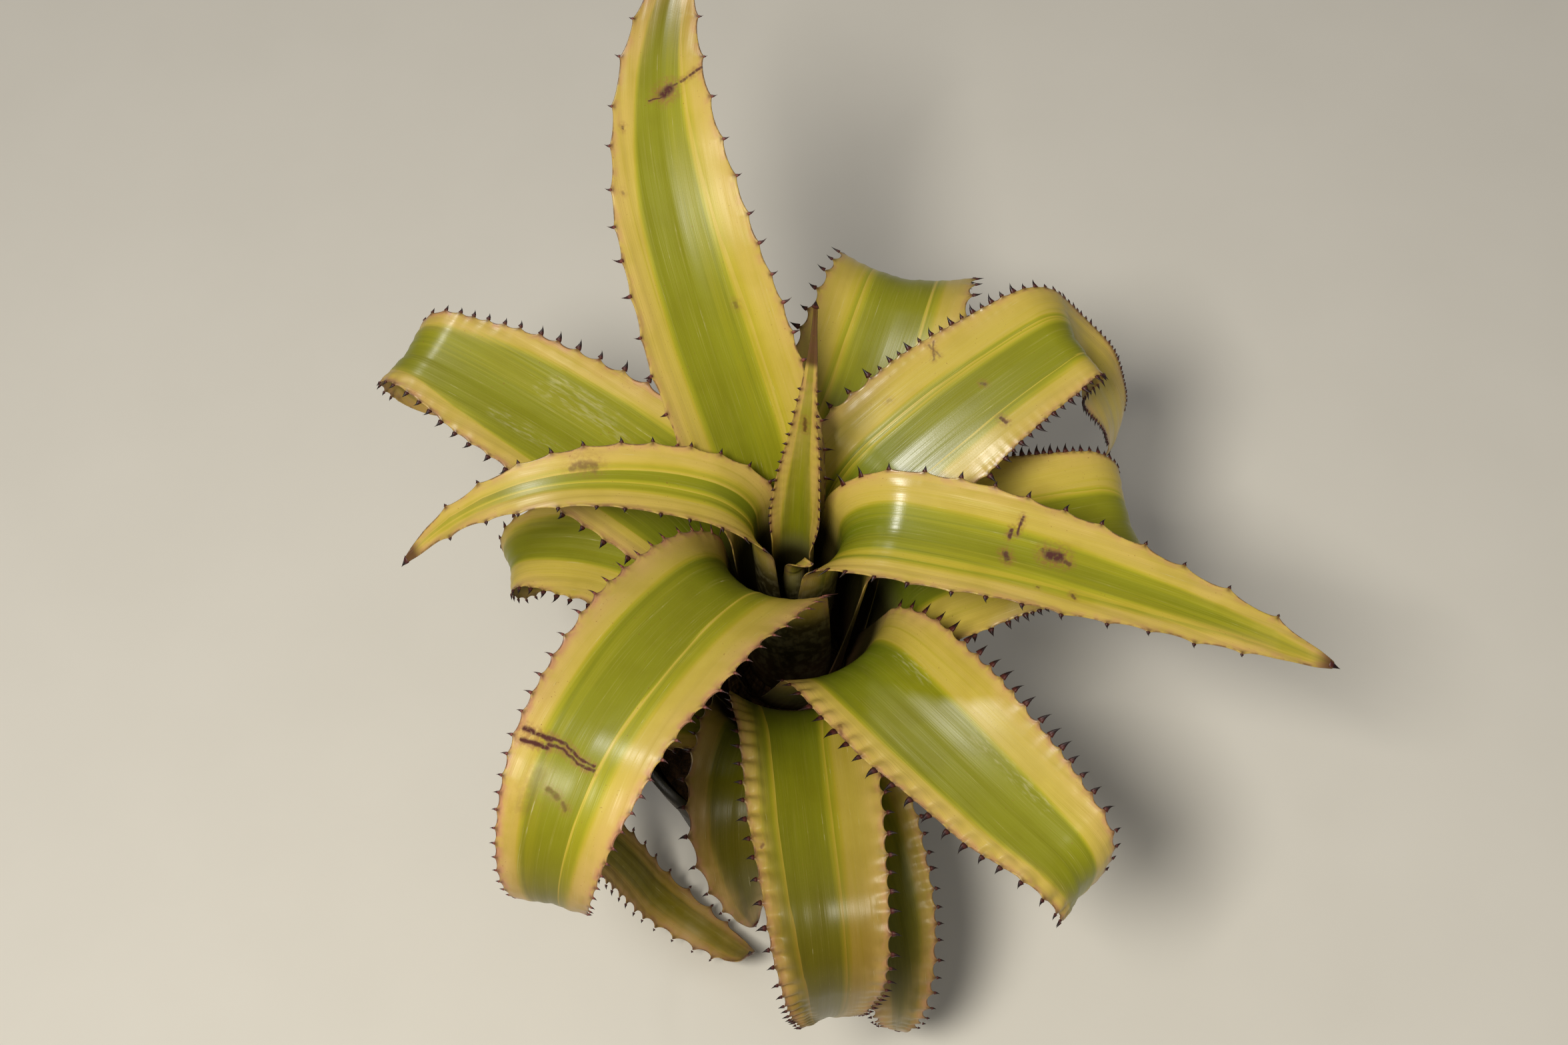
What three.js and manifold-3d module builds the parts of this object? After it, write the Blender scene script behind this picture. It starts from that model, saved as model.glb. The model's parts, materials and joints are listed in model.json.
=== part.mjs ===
// Potted bromeliad: a plain pot, its potting mix, a short stock and sixteen spiny leaves.
// Millimetres, +Z up. The origin is the centre of the flat underside of the pot.
import * as THREE from 'three';
import Module from 'manifold-3d';

const wasm = await Module();
wasm.setup();

// ---------------------------------------------------------------- pot
const POT_HEIGHT = 72;
const POT_FOOT_RADIUS = 30;
const POT_BAND_FOOT_Z = 59;
const POT_BAND_FOOT_RADIUS = 41.5;
const POT_RIM_RADIUS = 45.5;
const POT_WALL = 1.4;
const POT_FLOOR = 1.8;
const POT_LIP = 1.0;
const POT_SEGMENTS = 40;
const DRAIN_HOLES = 8;
const DRAIN_RADIUS = 3.2;
const DRAIN_RING_RADIUS = 22;
const DRAIN_SEGMENTS = 12;

// ---------------------------------------------------------------- potting mix
const GAP = 0.3;
const MIX_TOP = 59.5;
const MIX_BUMP = 1.1;
const MIX_SEGMENTS = 40;
const MIX_RINGS = [15.5, 20, 25, 30, 35];

// ---------------------------------------------------------------- stock, the short stem the leaves clasp
const STOCK_FOOT_Z = 40;
const STOCK_FOOT_RADIUS = 10.5;
const STOCK_COLLAR_Z = 62;
const STOCK_COLLAR_RADIUS = 12.5;
const STOCK_SEGMENTS = 20;

// ---------------------------------------------------------------- leaves
const LEAF_THICKNESS = 0.7;
const SHEATH_HALF_WIDTH = 22;
const SHEATH_WRAP = 95;
const BLADE_CUP_RADIUS = 45;
const COLUMNS = 6;
const ROW_LENGTH = 12.5;
const ROW_BEND = 18;
const MARGIN_STEP = 8.5;
const FIRST_THORN = 0.04;
const LAST_THORN = 0.9;
const NECK_HEIGHT = 0.55;
const NECK_SPACING = 0.65;
const FAR_SPACING = 1.25;
const TIP_FADE = 0.55;
// A leaf that twists over its fold swings aside in one soft step of the blade's share.
const VEER_FROM = 0.53;
const VEER_OVER = 0.22;
const PATH_STEPS = 600;
// Half-width along the blade, as a share of the greatest, by distance from the tip (0 tip, 1 base).
const WIDTH_AT = [0, 0.04, 0.15, 0.32, 0.52, 0.72, 0.88, 1];
const WIDTH_SHARE = [0.05, 0.14, 0.33, 0.57, 0.83, 0.985, 1, 0.95];

// Each leaf: azimuth it leaves the stock at, radius and height of its sheath's foot, sheath length, lean of the
// sheath from upright, arch as [share of the blade, inclination from upright] stations, blade length, width.
// turn swings the azimuth along the blade and veer past its middle, cup is the radius of the hollow across it, blunt under 1 keeps it
// broad towards the tip, thorn is the height of the thorns on the middle of the blade and pitch their spacing.
// neck and crowd scale height and spacing at the neck, far the spacing beyond the middle, and last is the share
// of the blade where the thorns end.
const LEAVES = [
  { az: 285, foot: 3.1, base: 100, sheath: 38, lean: 0, arch: [[0.3, 12], [1, 60]], blade: 15, width: 5,
    turn: 50, cup: 4, wrap: 105, thorn: 0, pitch: 5 },
  { az: 72, foot: 4.8, base: 98, sheath: 48, lean: 0, arch: [[0.15, 6], [0.6, 12], [1, 4]], blade: 80, width: 15,
    cup: 7, wrap: 110, blunt: 2.2, thorn: 0.8, pitch: 3.2, last: 0.68 },
  { az: 178, foot: 6.6, base: 96, sheath: 57, lean: 3, arch: [[0.22, 64], [0.55, 90], [1, 135]], blade: 98,
    width: 20, turn: 32, cup: 20, thorn: 1.2, pitch: 7.5, neck: 1.5, crowd: 0.8 },
  { az: 345, foot: 8.1, base: 94, sheath: 56, lean: 4, arch: [[0.18, 82], [0.5, 95], [1, 100]], blade: 126,
    width: 30, turn: -7, blunt: 0.9, thorn: 1.3, pitch: 9, neck: 2.1, crowd: 0.3 },
  { az: 120, foot: 9.6, base: 92, sheath: 54, lean: 5, arch: [[0.15, 36], [0.5, 56], [1, 80]], blade: 140,
    width: 36, turn: -50, cup: 40, blunt: 0.78, thorn: 1.8, pitch: 8, neck: 1.3 },
  { az: 237, foot: 11.1, base: 90, sheath: 54, lean: 6, arch: [[0.207, 53], [0.55, 82.7], [0.777, 153], [1, 245]],
    blade: 152.5, width: 37, turn: 23.5, cup: 51, blunt: 0.7, thorn: 1.5, pitch: 6, neck: 2, crowd: 0.6, far: 0.6 },
  { az: 40, foot: 12.6, base: 88, sheath: 50, lean: 7,
    arch: [[0.155, 76], [0.53, 83], [0.61, 172], [0.72, 143], [1, 192]],
    blade: 132, width: 39, turn: -27, veer: -45, cup: 90, blunt: 0.93, thorn: 2, pitch: 5.5, neck: 1.3, crowd: 1, far: 0.5 },
  { az: 306, foot: 14.1, base: 86, sheath: 36, lean: 16, arch: [[0.18, 72], [0.71, 92], [0.84, 178], [1, 200]],
    blade: 112, width: 39, turn: 17, cup: 55, blunt: 0.74, thorn: 2.6, pitch: 5, far: 0.9, sheathHalf: 18 },
  { az: 152, foot: 14.1, base: 84, sheath: 42, lean: 13, arch: [[0.19, 65], [0.7, 86], [0.82, 170], [1, 262]],
    blade: 123, width: 42, cup: 60, blunt: 0.85, thorn: 1.9, pitch: 5.8, far: 0.6, sheathHalf: 18 },
  { az: 68, foot: 15.6, base: 82, sheath: 40, lean: 14, arch: [[0.15, 60], [0.4, 88], [0.58, 165], [1, 200]],
    blade: 142, width: 41, turn: 34, blunt: 0.85, thorn: 1.8, pitch: 5.8, far: 0.5, sheathHalf: 19 },
  { az: 275, foot: 15.6, base: 80, sheath: 24, lean: 19, arch: [[0.15, 70], [0.45, 100], [0.65, 180], [1, 210]],
    blade: 142, width: 33, turn: 8, blunt: 0.85, thorn: 1.8, pitch: 4.6, far: 0.8, sheathHalf: 19 },
  { az: 12, foot: 17.1, base: 78, sheath: 34, lean: 20, arch: [[0.18, 70], [0.57, 95], [0.7, 175], [1, 200]],
    blade: 100, width: 46, turn: 8, cup: 60, blunt: 0.74, thorn: 1.9, pitch: 3.8, far: 0.9 },
  { az: 160, foot: 17.1, base: 76, sheath: 27, lean: 22, arch: [[0.19, 75], [0.6, 100], [0.74, 178], [1, 262]],
    blade: 76, width: 34, turn: 60, cup: 45, thorn: 1.9, pitch: 5, far: 0.6 },
  { az: 253.5, foot: 18.6, base: 74, sheath: 18, lean: 24, arch: [[0.215, 70], [0.404, 113], [0.68, 164], [1, 170]],
    blade: 70, width: 29, turn: 70, cup: 56, blunt: 0.875, thorn: 1.5, pitch: 5.5 },
  { az: 291, foot: 20.1, base: 72, sheath: 13, lean: 26, arch: [[0.15, 90], [0.45, 116], [0.8, 185], [1, 200]],
    blade: 112, width: 26, turn: -34, cup: 40, thorn: 1.4, pitch: 4.2 },
  { az: 214, foot: 21.6, base: 70, sheath: 12, lean: 28,
    arch: [[0.165, 45], [0.309, 163.5], [0.513, 204], [0.74, 199.5], [1, 354]],
    blade: 190.5, width: 24, turn: -95, cup: 69, blunt: 0.744, thorn: 1.2, pitch: 5 },
];

const RAD = Math.PI / 180;

function smooth(x) {
  const c = Math.min(1, Math.max(0, x));
  return c * c * (3 - 2 * c);
}

function between(x, at, value) {
  if (x <= at[0]) return value[0];
  for (let i = 1; i < at.length; i += 1) {
    if (x <= at[i]) return value[i - 1] + ((value[i] - value[i - 1]) * (x - at[i - 1])) / (at[i] - at[i - 1]);
  }
  return value[value.length - 1];
}

// A repeatable scatter value from 0 to 1 for leaf, side and count.
function chance(leaf, side, count) {
  const x = Math.sin(leaf * 12.9898 + side * 78.233 + count * 37.719) * 43758.5453;
  return x - Math.floor(x);
}

// The leaf as a sheet: point, facing and outward direction at length s along it and place u (-1 to 1) across it.
function leafSheet(leaf) {
  const length = leaf.sheath + leaf.blade;
  const stations = [0, ...leaf.arch.map((a) => a[0])];
  const angles = [leaf.lean, ...leaf.arch.map((a) => a[1])];
  const { turn = 0, veer = 0 } = leaf;
  const share = (s) => Math.min(1, Math.max(0, (s - leaf.sheath) / leaf.blade));
  const theta = (t) => between(t, stations, angles) * RAD;
  const azimuth = (t) => (leaf.az + turn * t * t + veer * smooth((t - VEER_FROM) / VEER_OVER)) * RAD;
  const run = length / PATH_STEPS;
  const path = [new THREE.Vector3(leaf.foot * Math.cos(leaf.az * RAD), leaf.foot * Math.sin(leaf.az * RAD), leaf.base)];
  for (let i = 0; i < PATH_STEPS; i += 1) {
    const t = share((i + 0.5) * run);
    const a = theta(t);
    const b = azimuth(t);
    const step = new THREE.Vector3(Math.sin(a) * Math.cos(b), Math.sin(a) * Math.sin(b), Math.cos(a));
    path.push(path[i].clone().addScaledVector(step, run));
  }
  const crest = stations[1];
  const sheathHalf = Math.min(leaf.sheathHalf ?? SHEATH_HALF_WIDTH, (leaf.wrap ?? SHEATH_WRAP) * RAD * leaf.foot);
  const neck = Math.min(sheathHalf, (leaf.width / 2) * 1.15);
  const fade = Math.min(18, leaf.sheath);

  function at(s, u) {
    const f = Math.min(PATH_STEPS - 1e-9, Math.max(0, s / run));
    const i = Math.floor(f);
    const mid = path[i].clone().lerp(path[i + 1], f - i);
    const t = share(s);
    const k = smooth(t / crest);
    const th = theta(t);
    const al = azimuth(t);
    const beta = th - leaf.lean * RAD * (1 - k);
    const face = new THREE.Vector3(-Math.cos(beta) * Math.cos(al), -Math.cos(beta) * Math.sin(al), Math.sin(beta));
    const across = new THREE.Vector3(-Math.sin(al), Math.cos(al), 0);
    const bend = (1 - k) / Math.hypot(mid.x, mid.y) + k / (leaf.cup ?? BLADE_CUP_RADIUS);
    const broad = (leaf.width / 2) * between((1 - t) ** (leaf.blunt ?? 1), WIDTH_AT, WIDTH_SHARE);
    let half = broad * k + neck * (1 - k);
    if (s < leaf.sheath) half = sheathHalf + (neck - sheathHalf) * smooth((s - (leaf.sheath - fade)) / fade);
    const angle = bend * half * u;
    const point = mid.addScaledVector(across, Math.sin(angle) / bend).addScaledVector(face, (1 - Math.cos(angle)) / bend);
    return {
      point,
      facing: face.clone().multiplyScalar(Math.cos(angle)).addScaledVector(across, -Math.sin(angle)),
      outward: across.clone().multiplyScalar(Math.cos(angle)).addScaledVector(face, Math.sin(angle)),
      along: new THREE.Vector3(Math.sin(th) * Math.cos(al), Math.sin(th) * Math.sin(al), Math.cos(th)),
    };
  }
  return { at, length, theta, share };
}

// Rows are closer together where the blade bends.
function rowStations(sheet) {
  const rows = [0];
  const probe = 0.5;
  let measure = 0;
  for (let s = 0; s < sheet.length; s += probe) {
    const bend = Math.abs(sheet.theta(sheet.share(s + probe)) - sheet.theta(sheet.share(s))) / RAD;
    measure += probe / ROW_LENGTH + bend / ROW_BEND;
    if (measure >= 1) {
      rows.push(Math.min(sheet.length, s + probe));
      measure = 0;
    }
  }
  if (sheet.length - rows[rows.length - 1] < 2) rows.pop();
  rows.push(sheet.length);
  return rows;
}

// Thorns along one margin as [place, height, width of foot].
function thorns(leaf, index, side) {
  if (leaf.thorn <= 0) return [];
  const { neck = NECK_HEIGHT, crowd = NECK_SPACING, far = FAR_SPACING, last = LAST_THORN } = leaf;
  const list = [];
  const end = leaf.sheath + leaf.blade * last;
  let s = leaf.sheath + leaf.blade * FIRST_THORN + leaf.pitch * 0.5 * chance(index, side, 0);
  for (let k = 1; s < end; k += 1) {
    const t = (s - leaf.sheath) / leaf.blade;
    const fade = (neck + (1 - neck) * smooth(t / 0.2)) * (1 - TIP_FADE * smooth((t - 0.45) / 0.45));
    const height = leaf.thorn * fade * (0.8 + 0.4 * chance(index, side, k));
    list.push([s, height, 0.9 * height + 0.3]);
    const spread = (crowd + (1 - crowd) * smooth(t / 0.2)) * (1 + (far - 1) * smooth((t - 0.4) / 0.3));
    s += leaf.pitch * spread * (0.85 + 0.3 * chance(index, side, k + 0.5));
  }
  return list;
}

// Places along a margin where the sheet is sampled; tooth marks a foot that carries a thorn.
function marginStations(sheet, list) {
  const stops = [{ s: 0 }];
  const fill = (to) => {
    const from = stops[stops.length - 1].s;
    const parts = Math.ceil((to - from) / MARGIN_STEP);
    for (let i = 1; i < parts; i += 1) stops.push({ s: from + ((to - from) * i) / parts });
  };
  for (const [s, height, foot] of list) {
    fill(s - foot / 2);
    stops.push({ s: s - foot / 2, thorn: { s, height } });
    stops.push({ s: s + foot / 2 });
  }
  fill(sheet.length);
  stops.push({ s: sheet.length });
  return stops;
}

function leafGeometry(leaf, index) {
  const sheet = leafSheet(leaf);
  const rows = rowStations(sheet);
  const positions = [];
  const faces = [];
  const addPair = (s, u) => {
    const { point, facing } = sheet.at(s, u);
    for (const half of [LEAF_THICKNESS / 2, -LEAF_THICKNESS / 2]) {
      const p = point.clone().addScaledVector(facing, half);
      positions.push(p.x, p.y, p.z);
    }
    return positions.length / 3 - 2;
  };
  // The same split on the upper face and, turned over, on the lower face.
  const bothFaces = (a, b, c) => {
    faces.push(a, b, c);
    faces.push(a + 1, c + 1, b + 1);
  };
  const wall = (a, b, flip) => {
    if (flip) faces.push(a, a + 1, b, b, a + 1, b + 1);
    else faces.push(a, b, a + 1, b, b + 1, a + 1);
  };

  const columns = [];
  for (let c = 0; c <= COLUMNS; c += 1) {
    const u = -1 + (2 * c) / COLUMNS;
    if (c > 0 && c < COLUMNS) {
      columns.push(rows.map((s) => ({ s, id: addPair(s, u) })));
    } else {
      const stops = marginStations(sheet, thorns(leaf, index, u));
      columns.push(stops.map((stop) => ({ ...stop, id: addPair(stop.s, u) })));
    }
  }
  // Fill between neighbouring columns, always taking the nearer next place.
  for (let c = 0; c < COLUMNS; c += 1) {
    const left = columns[c];
    const right = columns[c + 1];
    let i = 0;
    let j = 0;
    while (i < left.length - 1 || j < right.length - 1) {
      const nextLeft = i < left.length - 1 ? left[i + 1].s : Infinity;
      const nextRight = j < right.length - 1 ? right[j + 1].s : Infinity;
      if (nextLeft < nextRight) {
        bothFaces(left[i].id, left[i + 1].id, right[j].id);
        i += 1;
      } else {
        bothFaces(left[i].id, right[j + 1].id, right[j].id);
        j += 1;
      }
    }
  }
  // Foot and tip edges.
  for (let c = 0; c < COLUMNS; c += 1) {
    const last = columns[c].length - 1;
    const lastRight = columns[c + 1].length - 1;
    wall(columns[c][0].id, columns[c + 1][0].id, false);
    wall(columns[c][last].id, columns[c + 1][lastRight].id, true);
  }
  // Margins, with a four-sided thorn on each foot.
  for (const side of [-1, 1]) {
    const column = side < 0 ? columns[0] : columns[COLUMNS];
    for (let i = 0; i < column.length - 1; i += 1) {
      const a = column[i].id;
      const b = column[i + 1].id;
      if (!column[i].thorn) {
        wall(a, b, side < 0);
      } else {
        const { s, height } = column[i].thorn;
        const root = sheet.at(s, side);
        const apex = root.point
          .addScaledVector(root.outward, side * height)
          .addScaledVector(root.along, 0.2 * height)
          .addScaledVector(root.facing, 0.05 * height);
        positions.push(apex.x, apex.y, apex.z);
        const tip = positions.length / 3 - 1;
        const ring = side < 0 ? [a, a + 1, b + 1, b] : [a, b, b + 1, a + 1];
        for (let k = 0; k < 4; k += 1) faces.push(ring[k], ring[(k + 1) % 4], tip);
      }
    }
  }
  const geometry = new THREE.BufferGeometry();
  geometry.setAttribute('position', new THREE.Float32BufferAttribute(positions, 3));
  geometry.setIndex(faces);
  geometry.computeVertexNormals();
  return geometry;
}

function lathe(points, segments) {
  const geometry = new THREE.LatheGeometry(points.map(([r, z]) => new THREE.Vector2(r, z)), segments);
  geometry.rotateX(Math.PI / 2);
  return geometry;
}

function toSolid(geometry) {
  const keys = new Map();
  const vertices = [];
  const pos = geometry.getAttribute('position');
  const remap = [];
  for (let i = 0; i < pos.count; i += 1) {
    const v = [pos.getX(i), pos.getY(i), pos.getZ(i)];
    const key = v.map((x) => Math.round(x * 1e4)).join(',');
    if (!keys.has(key)) {
      keys.set(key, vertices.length / 3);
      vertices.push(...v);
    }
    remap.push(keys.get(key));
  }
  const index = geometry.index ? Array.from(geometry.index.array) : [...Array(pos.count).keys()];
  const triangles = [];
  for (let i = 0; i < index.length; i += 3) {
    const [a, b, c] = [remap[index[i]], remap[index[i + 1]], remap[index[i + 2]]];
    if (a !== b && b !== c && c !== a) triangles.push(a, b, c);
  }
  return { vertices, triangles };
}

function toManifold(geometry) {
  const { vertices, triangles } = toSolid(geometry);
  return new wasm.Manifold(new wasm.Mesh({
    numProp: 3,
    vertProperties: new Float32Array(vertices),
    triVerts: new Uint32Array(triangles),
  }));
}

function fromManifold(solid) {
  const mesh = solid.getMesh();
  const geometry = new THREE.BufferGeometry();
  geometry.setAttribute('position', new THREE.Float32BufferAttribute(Array.from(mesh.vertProperties), 3));
  geometry.setIndex(Array.from(mesh.triVerts));
  geometry.computeVertexNormals();
  return geometry;
}

// Inner radius of the pot wall at height z, below the rim band.
function potInnerRadius(z) {
  const slope = (POT_BAND_FOOT_RADIUS - POT_FOOT_RADIUS) / POT_BAND_FOOT_Z;
  return POT_FOOT_RADIUS + slope * z - POT_WALL;
}

function potGeometry() {
  const band = POT_BAND_FOOT_RADIUS + POT_WALL;
  const profile = [
    [0, 0],
    [POT_FOOT_RADIUS - 1, 0],
    [POT_FOOT_RADIUS, 1],
    [POT_BAND_FOOT_RADIUS, POT_BAND_FOOT_Z],
    [band, POT_BAND_FOOT_Z + 0.6],
    [POT_RIM_RADIUS - POT_LIP, POT_HEIGHT - 2.4],
    [POT_RIM_RADIUS, POT_HEIGHT - 1.8],
    [POT_RIM_RADIUS, POT_HEIGHT - 0.6],
    [POT_RIM_RADIUS - 0.6, POT_HEIGHT],
    [POT_RIM_RADIUS - POT_LIP - POT_WALL + 0.4, POT_HEIGHT],
    [POT_RIM_RADIUS - POT_LIP - POT_WALL, POT_HEIGHT - 0.5],
    [band - POT_WALL - 0.1, POT_BAND_FOOT_Z + 2.4],
    [potInnerRadius(POT_BAND_FOOT_Z), POT_BAND_FOOT_Z],
    [potInnerRadius(POT_FLOOR + 1), POT_FLOOR + 1],
    [potInnerRadius(POT_FLOOR) - 1, POT_FLOOR],
    [0, POT_FLOOR],
  ];
  let solid = toManifold(lathe(profile, POT_SEGMENTS));
  for (let i = 0; i < DRAIN_HOLES; i += 1) {
    const angle = ((i + 0.5) / DRAIN_HOLES) * 2 * Math.PI;
    const drill = new THREE.CylinderGeometry(DRAIN_RADIUS, DRAIN_RADIUS, POT_FLOOR * 4, DRAIN_SEGMENTS);
    drill.rotateX(Math.PI / 2);
    drill.translate(DRAIN_RING_RADIUS * Math.cos(angle), DRAIN_RING_RADIUS * Math.sin(angle), 0);
    solid = solid.subtract(toManifold(drill));
  }
  return fromManifold(solid);
}

// Height of the uneven top of the potting mix.
function mixTop(x, y) {
  const wave = Math.sin(0.31 * x + 0.9) * Math.cos(0.27 * y - 0.4) + 0.6 * Math.sin(0.62 * x - 0.48 * y + 2.1)
    + 0.4 * Math.cos(0.83 * y + 0.71 * x);
  return MIX_TOP + (MIX_BUMP * wave) / 2;
}

function mixGeometry() {
  const hole = STOCK_FOOT_RADIUS + GAP;
  const outerTop = potInnerRadius(MIX_TOP - 2 * MIX_BUMP) - GAP;
  const wallStations = [MIX_TOP * 0.5, POT_FLOOR + 1 + GAP];
  const positions = [];
  const faces = [];
  const rings = [];
  const addRing = (radius, height) => {
    const ring = [];
    for (let j = 0; j < MIX_SEGMENTS; j += 1) {
      const angle = (j / MIX_SEGMENTS) * 2 * Math.PI;
      const x = radius * Math.cos(angle);
      const y = radius * Math.sin(angle);
      ring.push(positions.length / 3);
      positions.push(x, y, height ?? mixTop(x, y));
    }
    rings.push(ring);
  };
  addRing(hole, STOCK_FOOT_Z - GAP);
  addRing(hole);
  for (const radius of MIX_RINGS) addRing(radius);
  addRing(outerTop);
  for (const z of wallStations) addRing(potInnerRadius(z) - GAP, z);
  addRing(potInnerRadius(POT_FLOOR) - 1 - GAP, POT_FLOOR + GAP);
  for (let k = 0; k < rings.length - 1; k += 1) {
    for (let j = 0; j < MIX_SEGMENTS; j += 1) {
      const n = (j + 1) % MIX_SEGMENTS;
      faces.push(rings[k][j], rings[k + 1][j], rings[k + 1][n]);
      faces.push(rings[k][j], rings[k + 1][n], rings[k][n]);
    }
  }
  const cap = (ring, height, up) => {
    const centre = positions.length / 3;
    positions.push(0, 0, height);
    for (let j = 0; j < MIX_SEGMENTS; j += 1) {
      const n = (j + 1) % MIX_SEGMENTS;
      if (up) faces.push(centre, ring[j], ring[n]);
      else faces.push(centre, ring[n], ring[j]);
    }
  };
  cap(rings[0], STOCK_FOOT_Z - GAP, true);
  cap(rings[rings.length - 1], POT_FLOOR + GAP, false);
  const geometry = new THREE.BufferGeometry();
  geometry.setAttribute('position', new THREE.Float32BufferAttribute(positions, 3));
  geometry.setIndex(faces);
  geometry.computeVertexNormals();
  return geometry;
}

// The stock tapers just inside the foot of every sheath.
function stockGeometry() {
  const profile = [
    [0, STOCK_FOOT_Z],
    [STOCK_FOOT_RADIUS - 1.5, STOCK_FOOT_Z],
    [STOCK_FOOT_RADIUS, STOCK_FOOT_Z + 1.5],
    [STOCK_FOOT_RADIUS, STOCK_COLLAR_Z - 0.5],
    [STOCK_COLLAR_RADIUS, STOCK_COLLAR_Z],
  ];
  for (const leaf of [...LEAVES].reverse()) {
    const sheathHalf = Math.min(leaf.sheathHalf ?? SHEATH_HALF_WIDTH, (leaf.wrap ?? SHEATH_WRAP) * RAD * leaf.foot);
    const chord = Math.cos(sheathHalf / leaf.foot / COLUMNS);
    profile.push([leaf.foot * chord - LEAF_THICKNESS / 2 - GAP - 0.05, leaf.base]);
  }
  profile.push([0, LEAVES[0].base + 1]);
  return lathe(profile, STOCK_SEGMENTS);
}

// Closed, welded mesh with its faces outwards.
function closed(geometry) {
  const { vertices, triangles } = toSolid(geometry);
  let volume = 0;
  const v = (i) => new THREE.Vector3(vertices[3 * i], vertices[3 * i + 1], vertices[3 * i + 2]);
  for (let i = 0; i < triangles.length; i += 3) {
    volume += v(triangles[i]).dot(v(triangles[i + 1]).cross(v(triangles[i + 2])));
  }
  if (volume < 0) {
    for (let i = 0; i < triangles.length; i += 3) {
      [triangles[i + 1], triangles[i + 2]] = [triangles[i + 2], triangles[i + 1]];
    }
  }
  const welded = new THREE.BufferGeometry();
  welded.setAttribute('position', new THREE.Float32BufferAttribute(vertices, 3));
  welded.setIndex(triangles);
  welded.computeVertexNormals();
  return welded;
}

const group = new THREE.Group();
group.name = 'potted_bromeliad';

function addPiece(name, geometry, slot, color, roughness) {
  const material = new THREE.MeshStandardMaterial({ color, roughness, metalness: 0 });
  material.name = slot;
  const mesh = new THREE.Mesh(closed(geometry), material);
  mesh.name = name;
  group.add(mesh);
}

addPiece('pot', potGeometry(), 'pot', 0x1d1d1d, 0.45);
addPiece('potting_mix', mixGeometry(), 'mix', 0x3a2618, 0.95);
addPiece('stock', stockGeometry(), 'stock', 0x6b5a2e, 0.8);
LEAVES.forEach((leaf, index) => {
  const name = `leaf_${String(index + 1).padStart(2, '0')}`;
  addPiece(name, leafGeometry(leaf, index), 'leaf', index === 1 ? 0x9aa043 : 0x9fae35, 0.4);
});

export default group;
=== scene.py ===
# %% [markdown]
# # A potted spiny bromeliad
# Sixteen stiff strap leaves clasp a short stock and make a water-holding cup, above a plain black pot of
# bark mix. Each leaf is cream at the sides and green along the middle, and its margins are cut in
# scallops with a dark hooked thorn on every point. The solids of the packed model give the sizes. This
# script dresses them.

# %% Load the frame
import json

import bpy
import numpy as np
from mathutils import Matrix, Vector

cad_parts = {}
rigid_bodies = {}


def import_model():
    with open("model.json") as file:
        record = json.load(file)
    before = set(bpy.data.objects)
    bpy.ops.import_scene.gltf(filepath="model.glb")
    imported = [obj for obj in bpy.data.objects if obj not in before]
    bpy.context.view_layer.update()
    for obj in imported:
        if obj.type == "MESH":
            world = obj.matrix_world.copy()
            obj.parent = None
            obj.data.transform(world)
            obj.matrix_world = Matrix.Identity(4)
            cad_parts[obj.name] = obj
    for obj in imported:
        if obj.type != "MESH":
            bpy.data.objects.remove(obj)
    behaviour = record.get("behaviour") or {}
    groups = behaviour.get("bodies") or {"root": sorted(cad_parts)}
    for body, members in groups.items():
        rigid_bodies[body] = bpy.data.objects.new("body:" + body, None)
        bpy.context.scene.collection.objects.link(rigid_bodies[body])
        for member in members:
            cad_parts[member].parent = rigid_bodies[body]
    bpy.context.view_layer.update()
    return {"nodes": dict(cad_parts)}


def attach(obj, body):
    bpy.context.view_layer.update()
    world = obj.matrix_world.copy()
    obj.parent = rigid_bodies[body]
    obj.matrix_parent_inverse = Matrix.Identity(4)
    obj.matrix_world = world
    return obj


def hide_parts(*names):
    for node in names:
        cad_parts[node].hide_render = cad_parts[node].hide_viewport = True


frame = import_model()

print("nodes in the frame:", len(frame["nodes"]))

# %% [markdown]
# ## Units and two small curves
# All shapes below are worked out in millimetres, because a leaf is easier to think about that way, and
# are turned into Blender's metres when the mesh is made. `smooth` is the usual soft step. `chance` gives
# the same scatter value each time for the same leaf, side and count, so that a thorn keeps its place from
# run to run.

# %% Units and curves
MM = 0.001
DEG = np.pi / 180


def smooth(x):
    """Soft step: 3x^2 - 2x^3 with x held between 0 and 1."""
    x = np.clip(x, 0, 1)
    return x * x * (3 - 2 * x)


def chance(leaf, side, count):
    """The fractional part of a large multiple of a sine, a repeatable value from 0 to 1."""
    x = np.sin(leaf * 12.9898 + side * 78.233 + count * 37.719) * 43758.5453
    return x - np.floor(x)


def unit(v):
    """Vectors along the last axis divided by their length."""
    return v / np.linalg.norm(v, axis=-1, keepdims=True)


print("smooth(0.25) =", smooth(0.25), " chance(3, 1, 2) =", round(float(chance(3, 1, 2)), 3))

# %% [markdown]
# ## From arrays to a mesh
# A surface here is a grid of points. The faces of a grid follow from its two counts alone, so they are
# built as index arrays and handed to Blender in one go. Modelling by hand or with `bmesh` would also
# work, but one array call a mesh is quicker and keeps the formula of the shape in sight.


# %% Grids to meshes
def grid_faces(rows, columns, start=0):
    """Quads of a grid whose columns close, each from a point, its next row and its next column."""
    i = np.arange(rows - 1)[:, None] * columns
    j = np.arange(columns)[None, :]
    n = (j + 1) % columns
    return np.stack([i + j, i + columns + j, i + columns + n, i + n], -1).reshape(-1, 4) + start


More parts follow.
